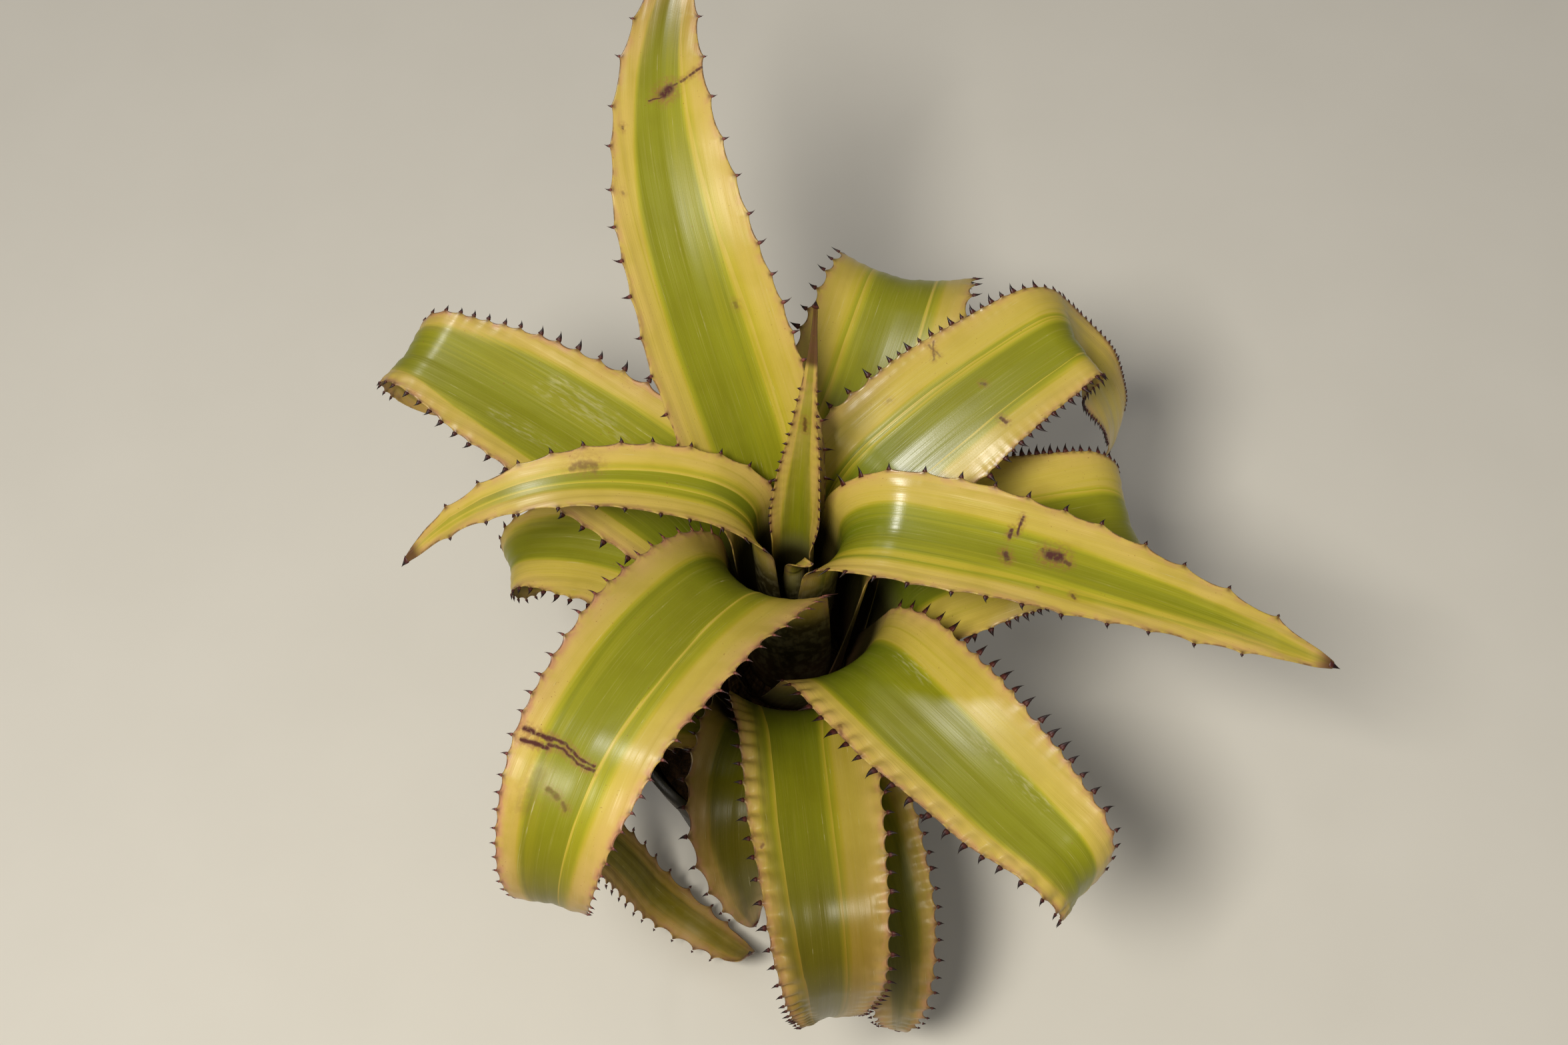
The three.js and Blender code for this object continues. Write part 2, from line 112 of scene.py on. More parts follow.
def add_piece(name, node, points, face_sets, fields=None, smooth_faces=True):
    """A mesh from points in millimetres and arrays of faces, standing for a node of the frame."""
    mesh = bpy.data.meshes.new(name)
    corners = np.concatenate([faces.ravel() for faces in face_sets])
    sizes = np.concatenate([np.full(len(faces), faces.shape[1]) for faces in face_sets])
    mesh.vertices.add(len(points))
    mesh.vertices.foreach_set("co", (points * MM).astype(np.float32).ravel())
    mesh.loops.add(len(corners))
    mesh.loops.foreach_set("vertex_index", corners.astype(np.int32))
    mesh.polygons.add(len(sizes))
    mesh.polygons.foreach_set("loop_start", (np.cumsum(sizes) - sizes).astype(np.int32))
    mesh.polygons.foreach_set("use_smooth", np.full(len(sizes), smooth_faces))
    for key, values in (fields or {}).items():
        layer = mesh.attributes.new(key, "FLOAT_VECTOR", "POINT")
        layer.data.foreach_set("vector", values.astype(np.float32).ravel())
    mesh.update(calc_edges=True)
    mesh.validate()
    piece = bpy.data.objects.new(name, mesh)
    bpy.context.scene.collection.objects.link(piece)
    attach(piece, "root")
    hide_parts(node)
    return piece


print("faces of a 4 by 6 closed grid:", len(grid_faces(4, 6)))

# %% [markdown]
# ## The camera
# The photograph looks down at the plant from 60 degrees, about 0.62 m from the middle of the rosette, so
# the far leaves are foreshortened and the near ones fall away from the eye. The lens is a short
# telephoto.

# %% Camera
SIGHT_TARGET = Vector((-0.002, 0.004, 0.150))
SIGHT_DISTANCE = 0.62
SIGHT_ELEVATION = 60 * DEG
LENS_MM = 59.69
SENSOR_MM = 36

eye = SIGHT_TARGET + SIGHT_DISTANCE * Vector((0, -np.cos(SIGHT_ELEVATION), np.sin(SIGHT_ELEVATION)))
lens = bpy.data.cameras.new("camera")
lens.lens = LENS_MM
lens.sensor_width = SENSOR_MM
lens.clip_start = 0.01
camera = bpy.data.objects.new("camera", lens)
camera.location = eye
camera.rotation_euler = (SIGHT_TARGET - eye).to_track_quat("-Z", "Y").to_euler()
bpy.context.scene.collection.objects.link(camera)
bpy.context.scene.camera = camera
print("eye of the camera:", [round(v, 3) for v in eye])

# %% [markdown]
# ## The leaves as a list
# A leaf has an upright sheath that clasps the stock and a blade that arches out of it. The list holds the
# same driving sizes as the solids: `az` is the azimuth at which the leaf leaves the stock, `foot` and
# `base` are the radius and height of its foot, `sheath` and `lean` the sheath's length and slant, `blade`
# and `width` the blade's length and width, and `arch` its inclinations from upright at shares of the
# blade. `turn` swings the azimuth towards the tip and `veer` swings it once past the middle. `cup` is the
# hollow's radius, `wrap` and `clasp` limit the sheath's half-width, and `blunt` under 1 keeps a leaf
# broad. The innermost leaf comes first.
#
# `thorn` is the height of the thorns and `pitch` the distance between them. `neck` and `crowd` are their
# share of that height and distance near the cup, and `far` is the share of the distance towards the tip.
# `last` is the share of the blade where they end, `fine` the height of small teeth between them, `bay`
# the depth of the scallops and `crimp` how much the right and the left margin are puckered.
#
# The rest is the look. `stripes` are the green parts across the blade, from the right margin (-1) to the
# left (1) seen from the foot, each with its depth of green. `marks` are old scars and spots as (from
# along, from across, to along, to across, size, darkness), in millimetres along and shares across, and
# `scuffs` are silvery rubs as (from along, to along, across). `deep` is how deep the green gets near the
# cup, partly the leaf's own deeper green and partly painted shade, `fading` the shares of the blade
# between which the green pales and what is left of it, `dusk` the share where the tip begins to darken,
# partly its own dull colour and partly painted shade, `purple_tip` the one where the dark point begins,
# `shade` the painted shade that darkens a whole leaf which gets less light, `rosy` the flush of its
# margins, `dull` the greyness of its underside, `rough` its roughness, and `hairy` marks leaves with
# bristly thorns. What a leaf doesn't name is ordinary.

# %% Leaf list
ORDINARY = dict(turn=0, veer=0, cup=45.0, wrap=95, clasp=22.0, blunt=1,
                neck=0.55, crowd=0.65, far=1.25, last=0.9, fine=0, bay=0.34, crimp=(0.04, 0.04),
                hairy=0, rosy=0.25, dusk=0.9, shade=0.0, deep=0.7, fading=None, purple_tip=0.975, dull=0.9,
                rough=0.26, scuffs=(), marks=())
LEAF_LIST = [
    dict(az=285, foot=3.1, base=100, sheath=38, lean=0, blade=15, width=5, turn=50, cup=4, wrap=105,
         arch=[(0.3, 12), (1, 60)],
         thorn=0, pitch=5, stripes=[(-0.5, 0.5, 0.6)]),
    dict(az=72, foot=4.8, base=98, sheath=48, lean=0, blade=80, width=15, cup=7, wrap=110, blunt=2.2,
         arch=[(0.15, 6), (0.6, 12), (1, 4)],
         thorn=0.8, pitch=3.2, last=0.68, bay=0.1, deep=0.3, purple_tip=0.74, stripes=[(-0.45, 0.5, 0.8)],
         marks=[(38, 0.0, 42, 0.12, 0.5, 0.7)]),
    dict(az=178, foot=6.6, base=96, sheath=57, lean=3, blade=98, width=20, turn=32, cup=20,
         arch=[(0.22, 64), (0.55, 90), (1, 135)],
         thorn=1.2, pitch=7.5, neck=1.5, crowd=0.8, bay=0.13, fading=(0.6, 1.0, 0.35), purple_tip=0.95,
         stripes=[(-0.5, -0.36, 0.3), (-0.3, -0.02, 1.0), (0.02, 0.3, 0.55)],
         marks=[(47, -0.4, 50, -0.5, 1.4, 0.55), (50, -0.55, 52, -0.42, 0.9, 0.5)]),
    dict(az=345, foot=8.1, base=94, sheath=56, lean=4, blade=126, width=30, turn=-7, blunt=0.9,
         arch=[(0.18, 82), (0.5, 95), (1, 100)],
         thorn=1.3, pitch=9, neck=2.1, crowd=0.3, bay=0.13,
         fading=(0.7, 1.05, 0.45), rough=0.17,
         stripes=[(-0.62, -0.52, 0.55), (-0.52, -0.36, 0.2), (-0.36, -0.06, 0.7), (-0.06, 0.14, 1.0),
                  (0.14, 0.42, 0.65)],
         marks=[(48.9, 0.68, 48.7, 0.36, 0.4, 0.95), (47.2, 0.4, 47.1, 0.26, 0.5, 0.95),
                (47.2, -0.04, 48, -0.16, 0.8, 0.9), (57, 0.14, 59.3, 0.16, 1.5, 1.0),
                (55, 0.2, 56, 0.15, 0.6, 0.6), (60.8, 0.1, 62, 0.08, 0.6, 0.8),
                (64.4, -0.56, 65, -0.6, 0.5, 0.7), (56.3, -0.58, 56.6, -0.58, 0.3, 0.5)]),
    dict(az=120, foot=9.6, base=92, sheath=54, lean=5, blade=140, width=36, turn=-50, cup=40, blunt=0.78,
         arch=[(0.15, 36), (0.5, 56), (1, 80)],
         thorn=1.8, pitch=8, neck=1.3, bay=0.11, hairy=1, dusk=0.72, deep=0.15,
         stripes=[(-0.6, -0.55, 0.25), (-0.43, -0.07, 0.75), (-0.07, 0.53, 1.0)],
         marks=[(103.2, 0.28, 103.9, 0.0, 0.22, 0.9), (104.6, -0.04, 105.9, -0.17, 1.3, 1.0),
                (106.3, -0.2, 107, -0.34, 0.3, 0.8), (107.6, -0.45, 108.6, -0.6, 0.4, 0.8),
                (109, -0.68, 109.7, -0.78, 0.4, 0.9), (110.2, -0.84, 111, -1.0, 0.45, 0.9),
                (52, -0.42, 53, -0.42, 0.6, 0.4), (97, 0.8, 97.3, 0.8, 0.45, 0.7),
                (83, 0.82, 83.3, 0.83, 0.4, 0.4)]),
    dict(az=237, foot=11.1, base=90, sheath=54, lean=6, blade=152.5, width=37, turn=23.5, cup=51, blunt=0.7,
         arch=[(0.207, 53), (0.55, 82.7), (0.777, 153), (1, 245)],
         thorn=1.5, pitch=6, neck=2, crowd=0.6, far=0.6, bay=0.2, hairy=1, rosy=1, dusk=0.62,
         stripes=[(-0.57, -0.47, 0.95), (-0.47, -0.3, 0.75), (-0.3, 0.18, 1.0), (0.18, 0.26, 0.8),
                  (0.29, 0.48, 0.6)],
         marks=[(91.4, -0.5, 91.7, -0.9, 0.6, 1.0), (93.2, -0.5, 93.8, -0.88, 0.6, 1.0),
                (91.2, -0.5, 91.0, -0.3, 0.45, 0.95), (91.0, -0.3, 92.4, -0.08, 0.4, 0.95),
                (92.4, -0.08, 93.1, 0.2, 0.4, 0.95), (92.4, -0.5, 92.2, -0.3, 0.45, 0.95),
                (92.2, -0.3, 93.6, -0.05, 0.45, 0.95), (93.6, -0.05, 94, 0.22, 0.45, 0.95),
                (100.9, -0.3, 101.9, -0.12, 0.7, 0.5), (102.6, -0.02, 103.5, 0.06, 0.6, 0.5),
                (99, -0.5, 106, -0.6, 2.0, 0.2)]),
    dict(az=40, foot=12.6, base=88, sheath=50, lean=7, blade=132, width=39, turn=-27, veer=-45, cup=90,
         blunt=0.93, arch=[(0.155, 76), (0.53, 83), (0.61, 172), (0.72, 143), (1, 192)],
         thorn=2, pitch=5.5, neck=1.3, crowd=1, far=0.5, fine=0.6, bay=0.28,
         fading=(0.58, 0.66, 0.02), dull=0.3, rough=0.18,
         stripes=[(-0.56, -0.47, 0.75), (-0.45, 0.25, 1.0), (0.29, 0.34, 0.6), (0.37, 0.43, 0.6)],
         marks=[(47.2, 0.92, 44.4, 0.7, 0.35, 0.6), (45.7, 0.92, 46.2, 0.7, 0.3, 0.5),
                (49.5, 0.04, 50, 0.0, 0.5, 0.6), (46.8, -0.54, 47, -0.64, 0.6, 0.8),
                (29.5, 0.63, 30, 0.62, 0.5, 0.3)]),
    dict(az=306, foot=14.1, base=86, sheath=36, lean=16, blade=112, width=39, turn=17, cup=55,
         clasp=18, blunt=0.74, arch=[(0.18, 72), (0.71, 92), (0.84, 178), (1, 200)],
         thorn=2.6, pitch=5, far=0.9, crimp=(0.8, 0.1), rosy=0.6, stripes=[(-0.64, 0.4, 1.0)],
         scuffs=[(48, 72, 0.3), (17, 27, 0.37)],
         marks=[(26, -0.92, 28, -0.98, 0.6, 0.5)]),
    dict(az=152, foot=14.1, base=84, sheath=42, lean=13, blade=123, width=42, cup=60, clasp=18, blunt=0.85,
         arch=[(0.19, 65), (0.7, 86), (0.82, 170), (1, 262)],
         thorn=1.9, pitch=5.8, far=0.6, bay=0.27, crimp=(0.08, 0.15), rosy=0.7,
         stripes=[(-0.66, -0.08, 0.75), (-0.08, 0.55, 1.0), (0.55, 0.66, 0.6)],
         scuffs=[(40, 66, 0.35), (36, 60, -0.3), (42, 58, -0.5)]),
    dict(az=68, foot=15.6, base=82, sheath=40, lean=14, blade=142, width=41, turn=34, clasp=19, blunt=0.85,
         arch=[(0.15, 60), (0.4, 88), (0.58, 165), (1, 200)],
         thorn=1.8, pitch=5.8, far=0.5,
         stripes=[(-0.6, -0.5, 0.7), (-0.46, 0.2, 1.0), (0.2, 0.42, 0.75), (0.47, 0.55, 0.5)]),
    dict(az=275, foot=15.6, base=80, sheath=24, lean=19, blade=142, width=33, turn=8, clasp=19, blunt=0.85,
         arch=[(0.15, 70), (0.45, 100), (0.65, 180), (1, 210)],
         thorn=1.8, pitch=4.6, far=0.8, crimp=(1.2, 0.3), dusk=0.3, shade=0.55,
         stripes=[(-0.78, -0.6, 0.7), (-0.57, 0.2, 1.0), (0.25, 0.34, 0.4)],
         marks=[(51, -0.86, 51.4, -0.87, 0.5, 0.6)]),
    dict(az=12, foot=17.1, base=78, sheath=34, lean=20, blade=100, width=46, turn=8, cup=60, blunt=0.74,
         arch=[(0.18, 70), (0.57, 95), (0.7, 175), (1, 200)],
         thorn=1.9, pitch=3.8, far=0.9, fine=0.7, rosy=0,
         stripes=[(-0.35, -0.1, 0.85), (-0.1, 0.42, 1.0), (0.46, 0.52, 0.5)]),
    dict(az=160, foot=17.1, base=76, sheath=27, lean=22, blade=76, width=34, turn=60, cup=45,
         arch=[(0.19, 75), (0.6, 100), (0.74, 178), (1, 262)],
         thorn=1.9, pitch=5, far=0.6, stripes=[(-0.7, -0.5, 0.7), (-0.5, 0.2, 0.9)]),
    dict(az=253.5, foot=18.6, base=74, sheath=18, lean=24, blade=70, width=29, turn=70, cup=56, blunt=0.875,
         arch=[(0.215, 70), (0.404, 113), (0.68, 164), (1, 170)],
         thorn=1.5, pitch=5.5, dusk=0.2, shade=0.65, stripes=[(-0.6, 0.55, 1.0)]),
    dict(az=291, foot=20.1, base=72, sheath=13, lean=26, blade=112, width=26, turn=-34, cup=40,
         arch=[(0.15, 90), (0.45, 116), (0.8, 185), (1, 200)],
         thorn=1.4, pitch=4.2, crimp=(0.4, 0.4), dusk=0.4, shade=0.6,
         stripes=[(-0.35, 0.1, 0.9), (0.1, 0.6, 0.75)]),
    dict(az=214, foot=21.6, base=70, sheath=12, lean=28, blade=190.5, width=24, turn=-95, cup=69,
         blunt=0.744, arch=[(0.165, 45), (0.309, 163.5), (0.513, 204), (0.74, 199.5), (1, 354)],
         thorn=1.2, pitch=5, dusk=0.3, dull=0.3, stripes=[(-0.5, 0.5, 0.6)]),
]
LEAVES = [ORDINARY | leaf for leaf in LEAF_LIST]
print("leaves:", len(LEAVES), " longest blade:", max(leaf["blade"] for leaf in LEAVES), "mm")

# %% [markdown]
# ## A leaf as a sheet
# Every point of a leaf is a function of two parameters: the length `s` along its midrib and the distance
# `x` across it. The midrib is summed from short steps whose inclination follows the arch. Across it the
# sheet is an arc: in the sheath it follows the stock's roundness, and in the blade it is the shallow
# hollow that leads rain to the cup.

# %% Leaf sheet
PATH_STEPS = 600
WIDTH_AT = [0, 0.04, 0.15, 0.32, 0.52, 0.72, 0.88, 1]
WIDTH_SHARE = [0.05, 0.14, 0.33, 0.57, 0.83, 0.985, 1, 0.95]
NECK_SPREAD = 1.15
SHEATH_FADE = 18
VEER_FROM = 0.53
VEER_OVER = 0.22


def inclination(leaf, t):
    """Angle from upright, straight between the stations of the arch."""
    stations = [0] + [share for share, _ in leaf["arch"]]
    angles = [leaf["lean"]] + [angle for _, angle in leaf["arch"]]
    return np.interp(t, stations, angles) * DEG


def azimuth(leaf, t):
    """Compass angle, swung by turn times t squared and by veer in one soft step past the middle."""
    veer = leaf["veer"] * smooth((t - VEER_FROM) / VEER_OVER)
    return (leaf["az"] + leaf["turn"] * t * t + veer) * DEG


def direction(theta, alpha):
    """Unit vector at an angle theta from upright and a compass angle alpha."""
    return np.stack([np.sin(theta) * np.cos(alpha), np.sin(theta) * np.sin(alpha), np.cos(theta)], -1)


def midrib(leaf, s):
    """Running sum of short steps along the leaf's direction, read off at the lengths s."""
    length = leaf["sheath"] + leaf["blade"]
    ends = np.linspace(0, length, PATH_STEPS + 1)
    middle = (ends[1:] + ends[:-1]) / 2
    t = np.clip((middle - leaf["sheath"]) / leaf["blade"], 0, 1)
    steps = direction(inclination(leaf, t), azimuth(leaf, t)) * length / PATH_STEPS
    az = leaf["az"] * DEG
    foot = np.array([leaf["foot"] * np.cos(az), leaf["foot"] * np.sin(az), leaf["base"]])
    path = foot + np.concatenate([np.zeros((1, 3)), np.cumsum(steps, 0)])
    return np.stack([np.interp(s, ends, path[:, k]) for k in range(3)], -1)


def half_width(leaf, s):
    """Half-width: the sheath's clasp, a neck, then the blade's profile, blended by soft steps."""
    t = np.clip((s - leaf["sheath"]) / leaf["blade"], 0, 1)
    k = smooth(t / leaf["arch"][0][0])
    broad = leaf["width"] / 2 * np.interp((1 - t) ** leaf["blunt"], WIDTH_AT, WIDTH_SHARE)
    clasp = min(leaf["clasp"], leaf["wrap"] * DEG * leaf["foot"])
    neck = min(clasp, leaf["width"] / 2 * NECK_SPREAD)
    fade = min(SHEATH_FADE, leaf["sheath"])
    sheath = clasp + (neck - clasp) * smooth((s - (leaf["sheath"] - fade)) / fade)
    return np.where(s < leaf["sheath"], sheath, broad * k + neck * (1 - k))


def leaf_sheet(leaf, s, x):
    """Point, facing and outward vectors: an arc of the local radius laid across the midrib, read at x."""
    t = np.clip((s - leaf["sheath"]) / leaf["blade"], 0, 1)
    k = smooth(t / leaf["arch"][0][0])
    theta = inclination(leaf, t)
    alpha = azimuth(leaf, t)
    beta = theta - leaf["lean"] * DEG * (1 - k)
    face = np.stack([-np.cos(beta) * np.cos(alpha), -np.cos(beta) * np.sin(alpha), np.sin(beta)], -1)
    across = np.stack([-np.sin(alpha), np.cos(alpha), 0 * alpha], -1)
    rib = midrib(leaf, s)
    bend = (1 - k) / np.hypot(rib[..., 0], rib[..., 1]) + k / leaf["cup"]
    angle = bend * x
    side, rise = (np.sin(angle) / bend)[..., None], ((1 - np.cos(angle)) / bend)[..., None]
    cosine, sine = np.cos(angle)[..., None], np.sin(angle)[..., None]
    return rib + across * side + face * rise, face * cosine - across * sine, across * cosine + face * sine


for number in (4, 5):
    tip = midrib(LEAVES[number], np.array([LEAVES[number]["sheath"] + LEAVES[number]["blade"]]))[0]
    print("tip of leaf", number + 1, "at", np.round(tip, 1), "mm")

# %% [markdown]
# ## Thorns and scallops
# The margin is cut in shallow scallops, and every point between two scallops carries a thorn. Places and
# heights follow the leaf: on most leaves the thorns stand closer together near the cup, and on all of
# them they dwindle towards the tip. Two leaves have smaller teeth between the thorns. Between neighbours
# the margin is half an ellipse, which gives a round bay with a sharp cusp at each end.


# %% Thorn places
FIRST_THORN = 0.04
NECK_SHARE = 0.2
HEIGHT_LOSS = 0.55
LOSS_FROM = 0.45
LOSS_OVER = 0.45
FAR_FROM = 0.4
FAR_OVER = 0.3
FINE_FROM = 0.25


def thorn_places(leaf, index, side):
    """Places along one margin and heights: each step is the pitch, crowded and varied by 15 percent."""
    places, heights = [], []
    s = leaf["sheath"] + leaf["blade"] * FIRST_THORN + leaf["pitch"] * 0.5 * chance(index, side, 0)
    count = 1
    while leaf["thorn"] > 0 and s < leaf["sheath"] + leaf["blade"] * leaf["last"]:
        t = (s - leaf["sheath"]) / leaf["blade"]
        grown = smooth(t / NECK_SHARE)
        fade = leaf["neck"] + (1 - leaf["neck"]) * grown
        fade = fade * (1 - HEIGHT_LOSS * smooth((t - LOSS_FROM) / LOSS_OVER))
        places.append(s)
        heights.append(leaf["thorn"] * fade * (0.8 + 0.4 * chance(index, side, count)))
        spread = leaf["crowd"] + (1 - leaf["crowd"]) * grown
        spread = spread * (1 + (leaf["far"] - 1) * smooth((t - FAR_FROM) / FAR_OVER))
        s += leaf["pitch"] * spread * (0.85 + 0.3 * chance(index, side, count + 0.5))
        count += 1
    return with_fine_teeth(leaf, np.array(places), np.array(heights))


def with_fine_teeth(leaf, places, heights):
    """Add a tooth midway between neighbours, a share of the lower one's height, past the first quarter."""
    if not leaf["fine"]:
        return places, heights
    middle = (places[1:] + places[:-1]) / 2
    small = np.minimum(heights[1:], heights[:-1]) * leaf["fine"]
    outer = middle > leaf["sheath"] + leaf["blade"] * FINE_FROM
    places = np.concatenate([places, middle[outer]])
    heights = np.concatenate([heights, small[outer]])
    order = np.argsort(places)
    return places[order], heights[order]


for side in (-1, 1):
    print("leaf 8, side", side, "thorns:", len(thorn_places(LEAVES[7], 7, side)[0]))

# %% Scalloped margin
BAY_DEEPEST = 2.0


def margin_bays(leaf, places, s):
    """Shift outwards and share of the gap: half an ellipse, 1 - sqrt(1 - (2f-1)^2), less its mean."""
    if len(places) < 2:
        return np.zeros_like(s), np.full_like(s, 0.5)
    first, last = places[1] - places[0], places[-1] - places[-2]
    stops = np.concatenate([[places[0] - first], places, [places[-1] + last]])
    gap = np.clip(np.searchsorted(stops, s) - 1, 0, len(stops) - 2)
    width = stops[gap + 1] - stops[gap]
    share = np.clip((s - stops[gap]) / width, 0, 1)
    depth = np.minimum(width * leaf["bay"], BAY_DEEPEST)
    present = smooth((s - stops[0]) / first) * smooth((stops[-1] - s) / last)
    return depth * (np.pi / 4 - np.sqrt(1 - (2 * share - 1) ** 2)) * present, share


bay_shift, _ = margin_bays(LEAVES[7], np.array([60.0, 65.0, 70.0]), np.array([62.5]))
print("shift in the middle of a 5 mm bay:", round(float(bay_shift[0]), 2), "mm")

# %% [markdown]
# ## The blade as a closed skin
# The blade is one closed skin: upper face, rounded rim and lower face in one loop of points, repeated
# every 0.45 mm along the blade and less often in the sheath. The columns lie closer together towards the
# margins, where the scallops are. The sheet is moved along its facing by small reliefs: a groove along the
# middle, lengthwise ridges, slow waves that grow towards the margins, and puckers between the thorns on
# the leaves that show them. A flat sheet with a Solidify modifier would also do, but its rim would be
# square and its thickness the same all over.

# %% Relief of the blade
RIDGE_HEIGHT = 0.07
GROOVE_DEPTH = 0.35
GROOVE_REACH = 2.2
WAVE_HEIGHT = 0.30
WAVE_WIDTH = 38
PUCKER_HEIGHT = 0.55


def relief(leaf, index, s, x, edge, bays):
    """Height of the groove, ridges sin(x), waves |u|^3 sin(s) and puckers, cosines of the gap's share."""
    t = (s - leaf["sheath"]) / leaf["blade"]
    on_blade = smooth(t / 0.12) * smooth((1 - t) / 0.06)
    u = np.abs(x) / (np.abs(x) + edge + 1e-6)
    ridges = RIDGE_HEIGHT * (np.sin(x * 2.1 + index) + 0.7 * np.sin(x * 1.23 - 2 * index))
    groove = -GROOVE_DEPTH * np.exp(-((x / GROOVE_REACH) ** 2))
    phase = np.where(x > 0, 1.7, 0.0) + index * 2.4
    swell = np.sin(s / 5.3 + phase) + 0.35 * np.sin(s / 2.6 + 2 * phase)
    waves = WAVE_HEIGHT * u ** 3 * swell * leaf["width"] / WAVE_WIDTH
    right, left = leaf["crimp"]
    crimp = np.where(x > 0, left, right)
    puckers = PUCKER_HEIGHT * crimp * np.cos(2 * np.pi * bays) * np.exp(-((edge - 1.2) / 2.2) ** 2)
    return (ridges + groove + waves + puckers) * on_blade


middle = relief(LEAVES[7], 7, np.array([80.0]), np.array([0.0]), np.array([18.0]), np.array([0.5]))
print("depth along the middle of leaf 8:", round(float(middle[0]), 2), "mm")

# %% Grid of the blade
ROW_STEP = 0.45
SHEATH_ROW_STEP = 1.4
COLUMNS = 37
NEAR_THORN = 1.3


def skin_grid(leaf):
    """Lengths s and shares across u: even rows, and columns that crowd towards the margins like a sine."""
    neck, length = leaf["sheath"], leaf["sheath"] + leaf["blade"]
    sheath_rows = np.linspace(0, neck, int(neck / SHEATH_ROW_STEP), endpoint=False)
    rows = np.concatenate([sheath_rows, np.linspace(neck, length, int(leaf["blade"] / ROW_STEP))])
    spread = np.linspace(-1, 1, COLUMNS)
    s = np.repeat(rows[:, None], COLUMNS, 1)
    return s, 0.45 * spread + 0.55 * np.sin(spread * np.pi / 2) + 0 * s


def margin_fields(leaf, index, s, u):
    """Shift, share of the gap and closeness exp(-distance) to a thorn, from the margin on the same side."""
    shift, bays, closeness = np.zeros_like(s), np.zeros_like(s), np.zeros_like(s)
    rows = s[:, 0]
    for side in (-1, 1):
        places, _ = thorn_places(leaf, index, side)
        out, share = margin_bays(leaf, places, rows)
        mine = u * side > 0
        shift = np.where(mine, side * out[:, None], shift)
        bays = np.where(mine, share[:, None], bays)
        if len(places):
            near = np.abs(rows[:, None] - places[None, :]).min(1)
            closeness = np.where(mine, np.exp(-near / NEAR_THORN)[:, None], closeness)
    return shift, bays, closeness


grid, _ = skin_grid(LEAVES[7])
print("leaf 8 grid: rows and columns", grid.shape)

# %% Blade skin
BLADE_THICK = 0.7
RIM_THICK = 0.34
RIM_REACH = 3.0
RIM_OUT = 0.16
EDGE_REACH = 1.8
SEED_STEP = 7.3


def around(field, at_rims=None):
    """A field carried round the loop: upper face, left rim, lower face backwards, right rim."""
    at_rims = field[:, [0, -1]] if at_rims is None else at_rims
    return np.concatenate([field, at_rims[:, 1:], field[:, ::-1], at_rims[:, :1]], 1)


def skin_fields(leaf, index, s, u, arc, edge, closeness, outward):
    """What the skin tells the finish: its lengthwise lay, its pressed place, its shares and its parts."""
    along = around(s - leaf["sheath"])
    under = np.zeros_like(along)
    under[:, COLUMNS + 1:2 * COLUMNS + 1] = 1
    under[:, [COLUMNS, 2 * COLUMNS + 1]] = 0.5
    from_edge = around(edge, np.zeros((len(s), 2)))
    return {
        "lay": around(outward),
        "flat": np.stack([around(arc), along, np.full_like(along, index * SEED_STEP)], -1),
        "place": np.stack([around(u), along / leaf["blade"], from_edge], -1),
        "part": np.stack([around(closeness), under, np.full_like(along, -1.0)], -1),
    }


def blade_skin(leaf, index):
    """Loops of points: the sheet plus and minus half its thickness, with one rim point at each margin."""
    s, u = skin_grid(leaf)
    half = half_width(leaf, s)
    x = half * u
    edge = half - np.abs(x)
    shift, bays, closeness = margin_fields(leaf, index, s, u)
    arc = x + shift * np.exp(-edge / EDGE_REACH)
    point, facing, outward = leaf_sheet(leaf, s, arc)
    point = point + facing * relief(leaf, index, s, x, edge, bays)[..., None]
    facing = unit(np.cross(np.gradient(point, axis=0), np.gradient(point, axis=1)))
    thick = RIM_THICK + (BLADE_THICK - RIM_THICK) * smooth(edge / RIM_REACH)
    offset = facing * (thick / 2)[..., None]
    rims = point[:, [0, -1]] + outward[:, [0, -1]] * np.array([-RIM_OUT, RIM_OUT])[None, :, None]
    loops = np.concatenate([point + offset, rims[:, 1:], (point - offset)[:, ::-1], rims[:, :1]], 1)
    return loops, skin_fields(leaf, index, s, u, arc, edge, closeness, outward)


def end_faces(count, ring):
    """The two short ends: quads between the upper and lower face, and a triangle at each rim."""
    j = np.arange(COLUMNS - 1)
    quads = np.stack([j, j + 1, 2 * COLUMNS - j - 1, 2 * COLUMNS - j], -1)
    rims = np.array([[COLUMNS - 1, COLUMNS, COLUMNS + 1], [0, 2 * COLUMNS, 2 * COLUMNS + 1]])
    last = (count - 1) * ring
    return [quads, quads[:, ::-1] + last, rims, rims[:, ::-1] + last]


sample, _ = blade_skin(LEAVES[7], 7)
print("leaf 8 skin: rows and points a loop", sample.shape[:2])

# %% [markdown]
# ## The thorns
# A thorn is a flattened, curved cone whose foot is about two fifths of its height and half a millimetre
# more. Near the cup it hooks back, and farther out it leans towards the leaf's tip. A real one is a
# stiffened outgrowth of the margin, so the foot is sunk a little into the point between two scallops. All
# the thorns of a margin are one array: thorn, ring, corner. Each leaf also ends in a short spine, made by
# the same function.

# %% Thorns
THORN_SIDES = 6
THORN_RINGS = np.array([-0.3, 0.0, 0.25, 0.5, 0.78])
THORN_DROOP = 0.12
THORN_THICK = 0.6
FOOT_SHARE = 0.38
FOOT_LEAST = 0.50
HAIRY_SLIM = 0.7
HOOK_AT_CUP = -0.3
HOOK_SWING = 0.65
HOOK_CHANCE = 0.35
SPINE_TALLEST = 2.2
SPINE_SHARE = 0.12
SPINE_SUNK = 0.3


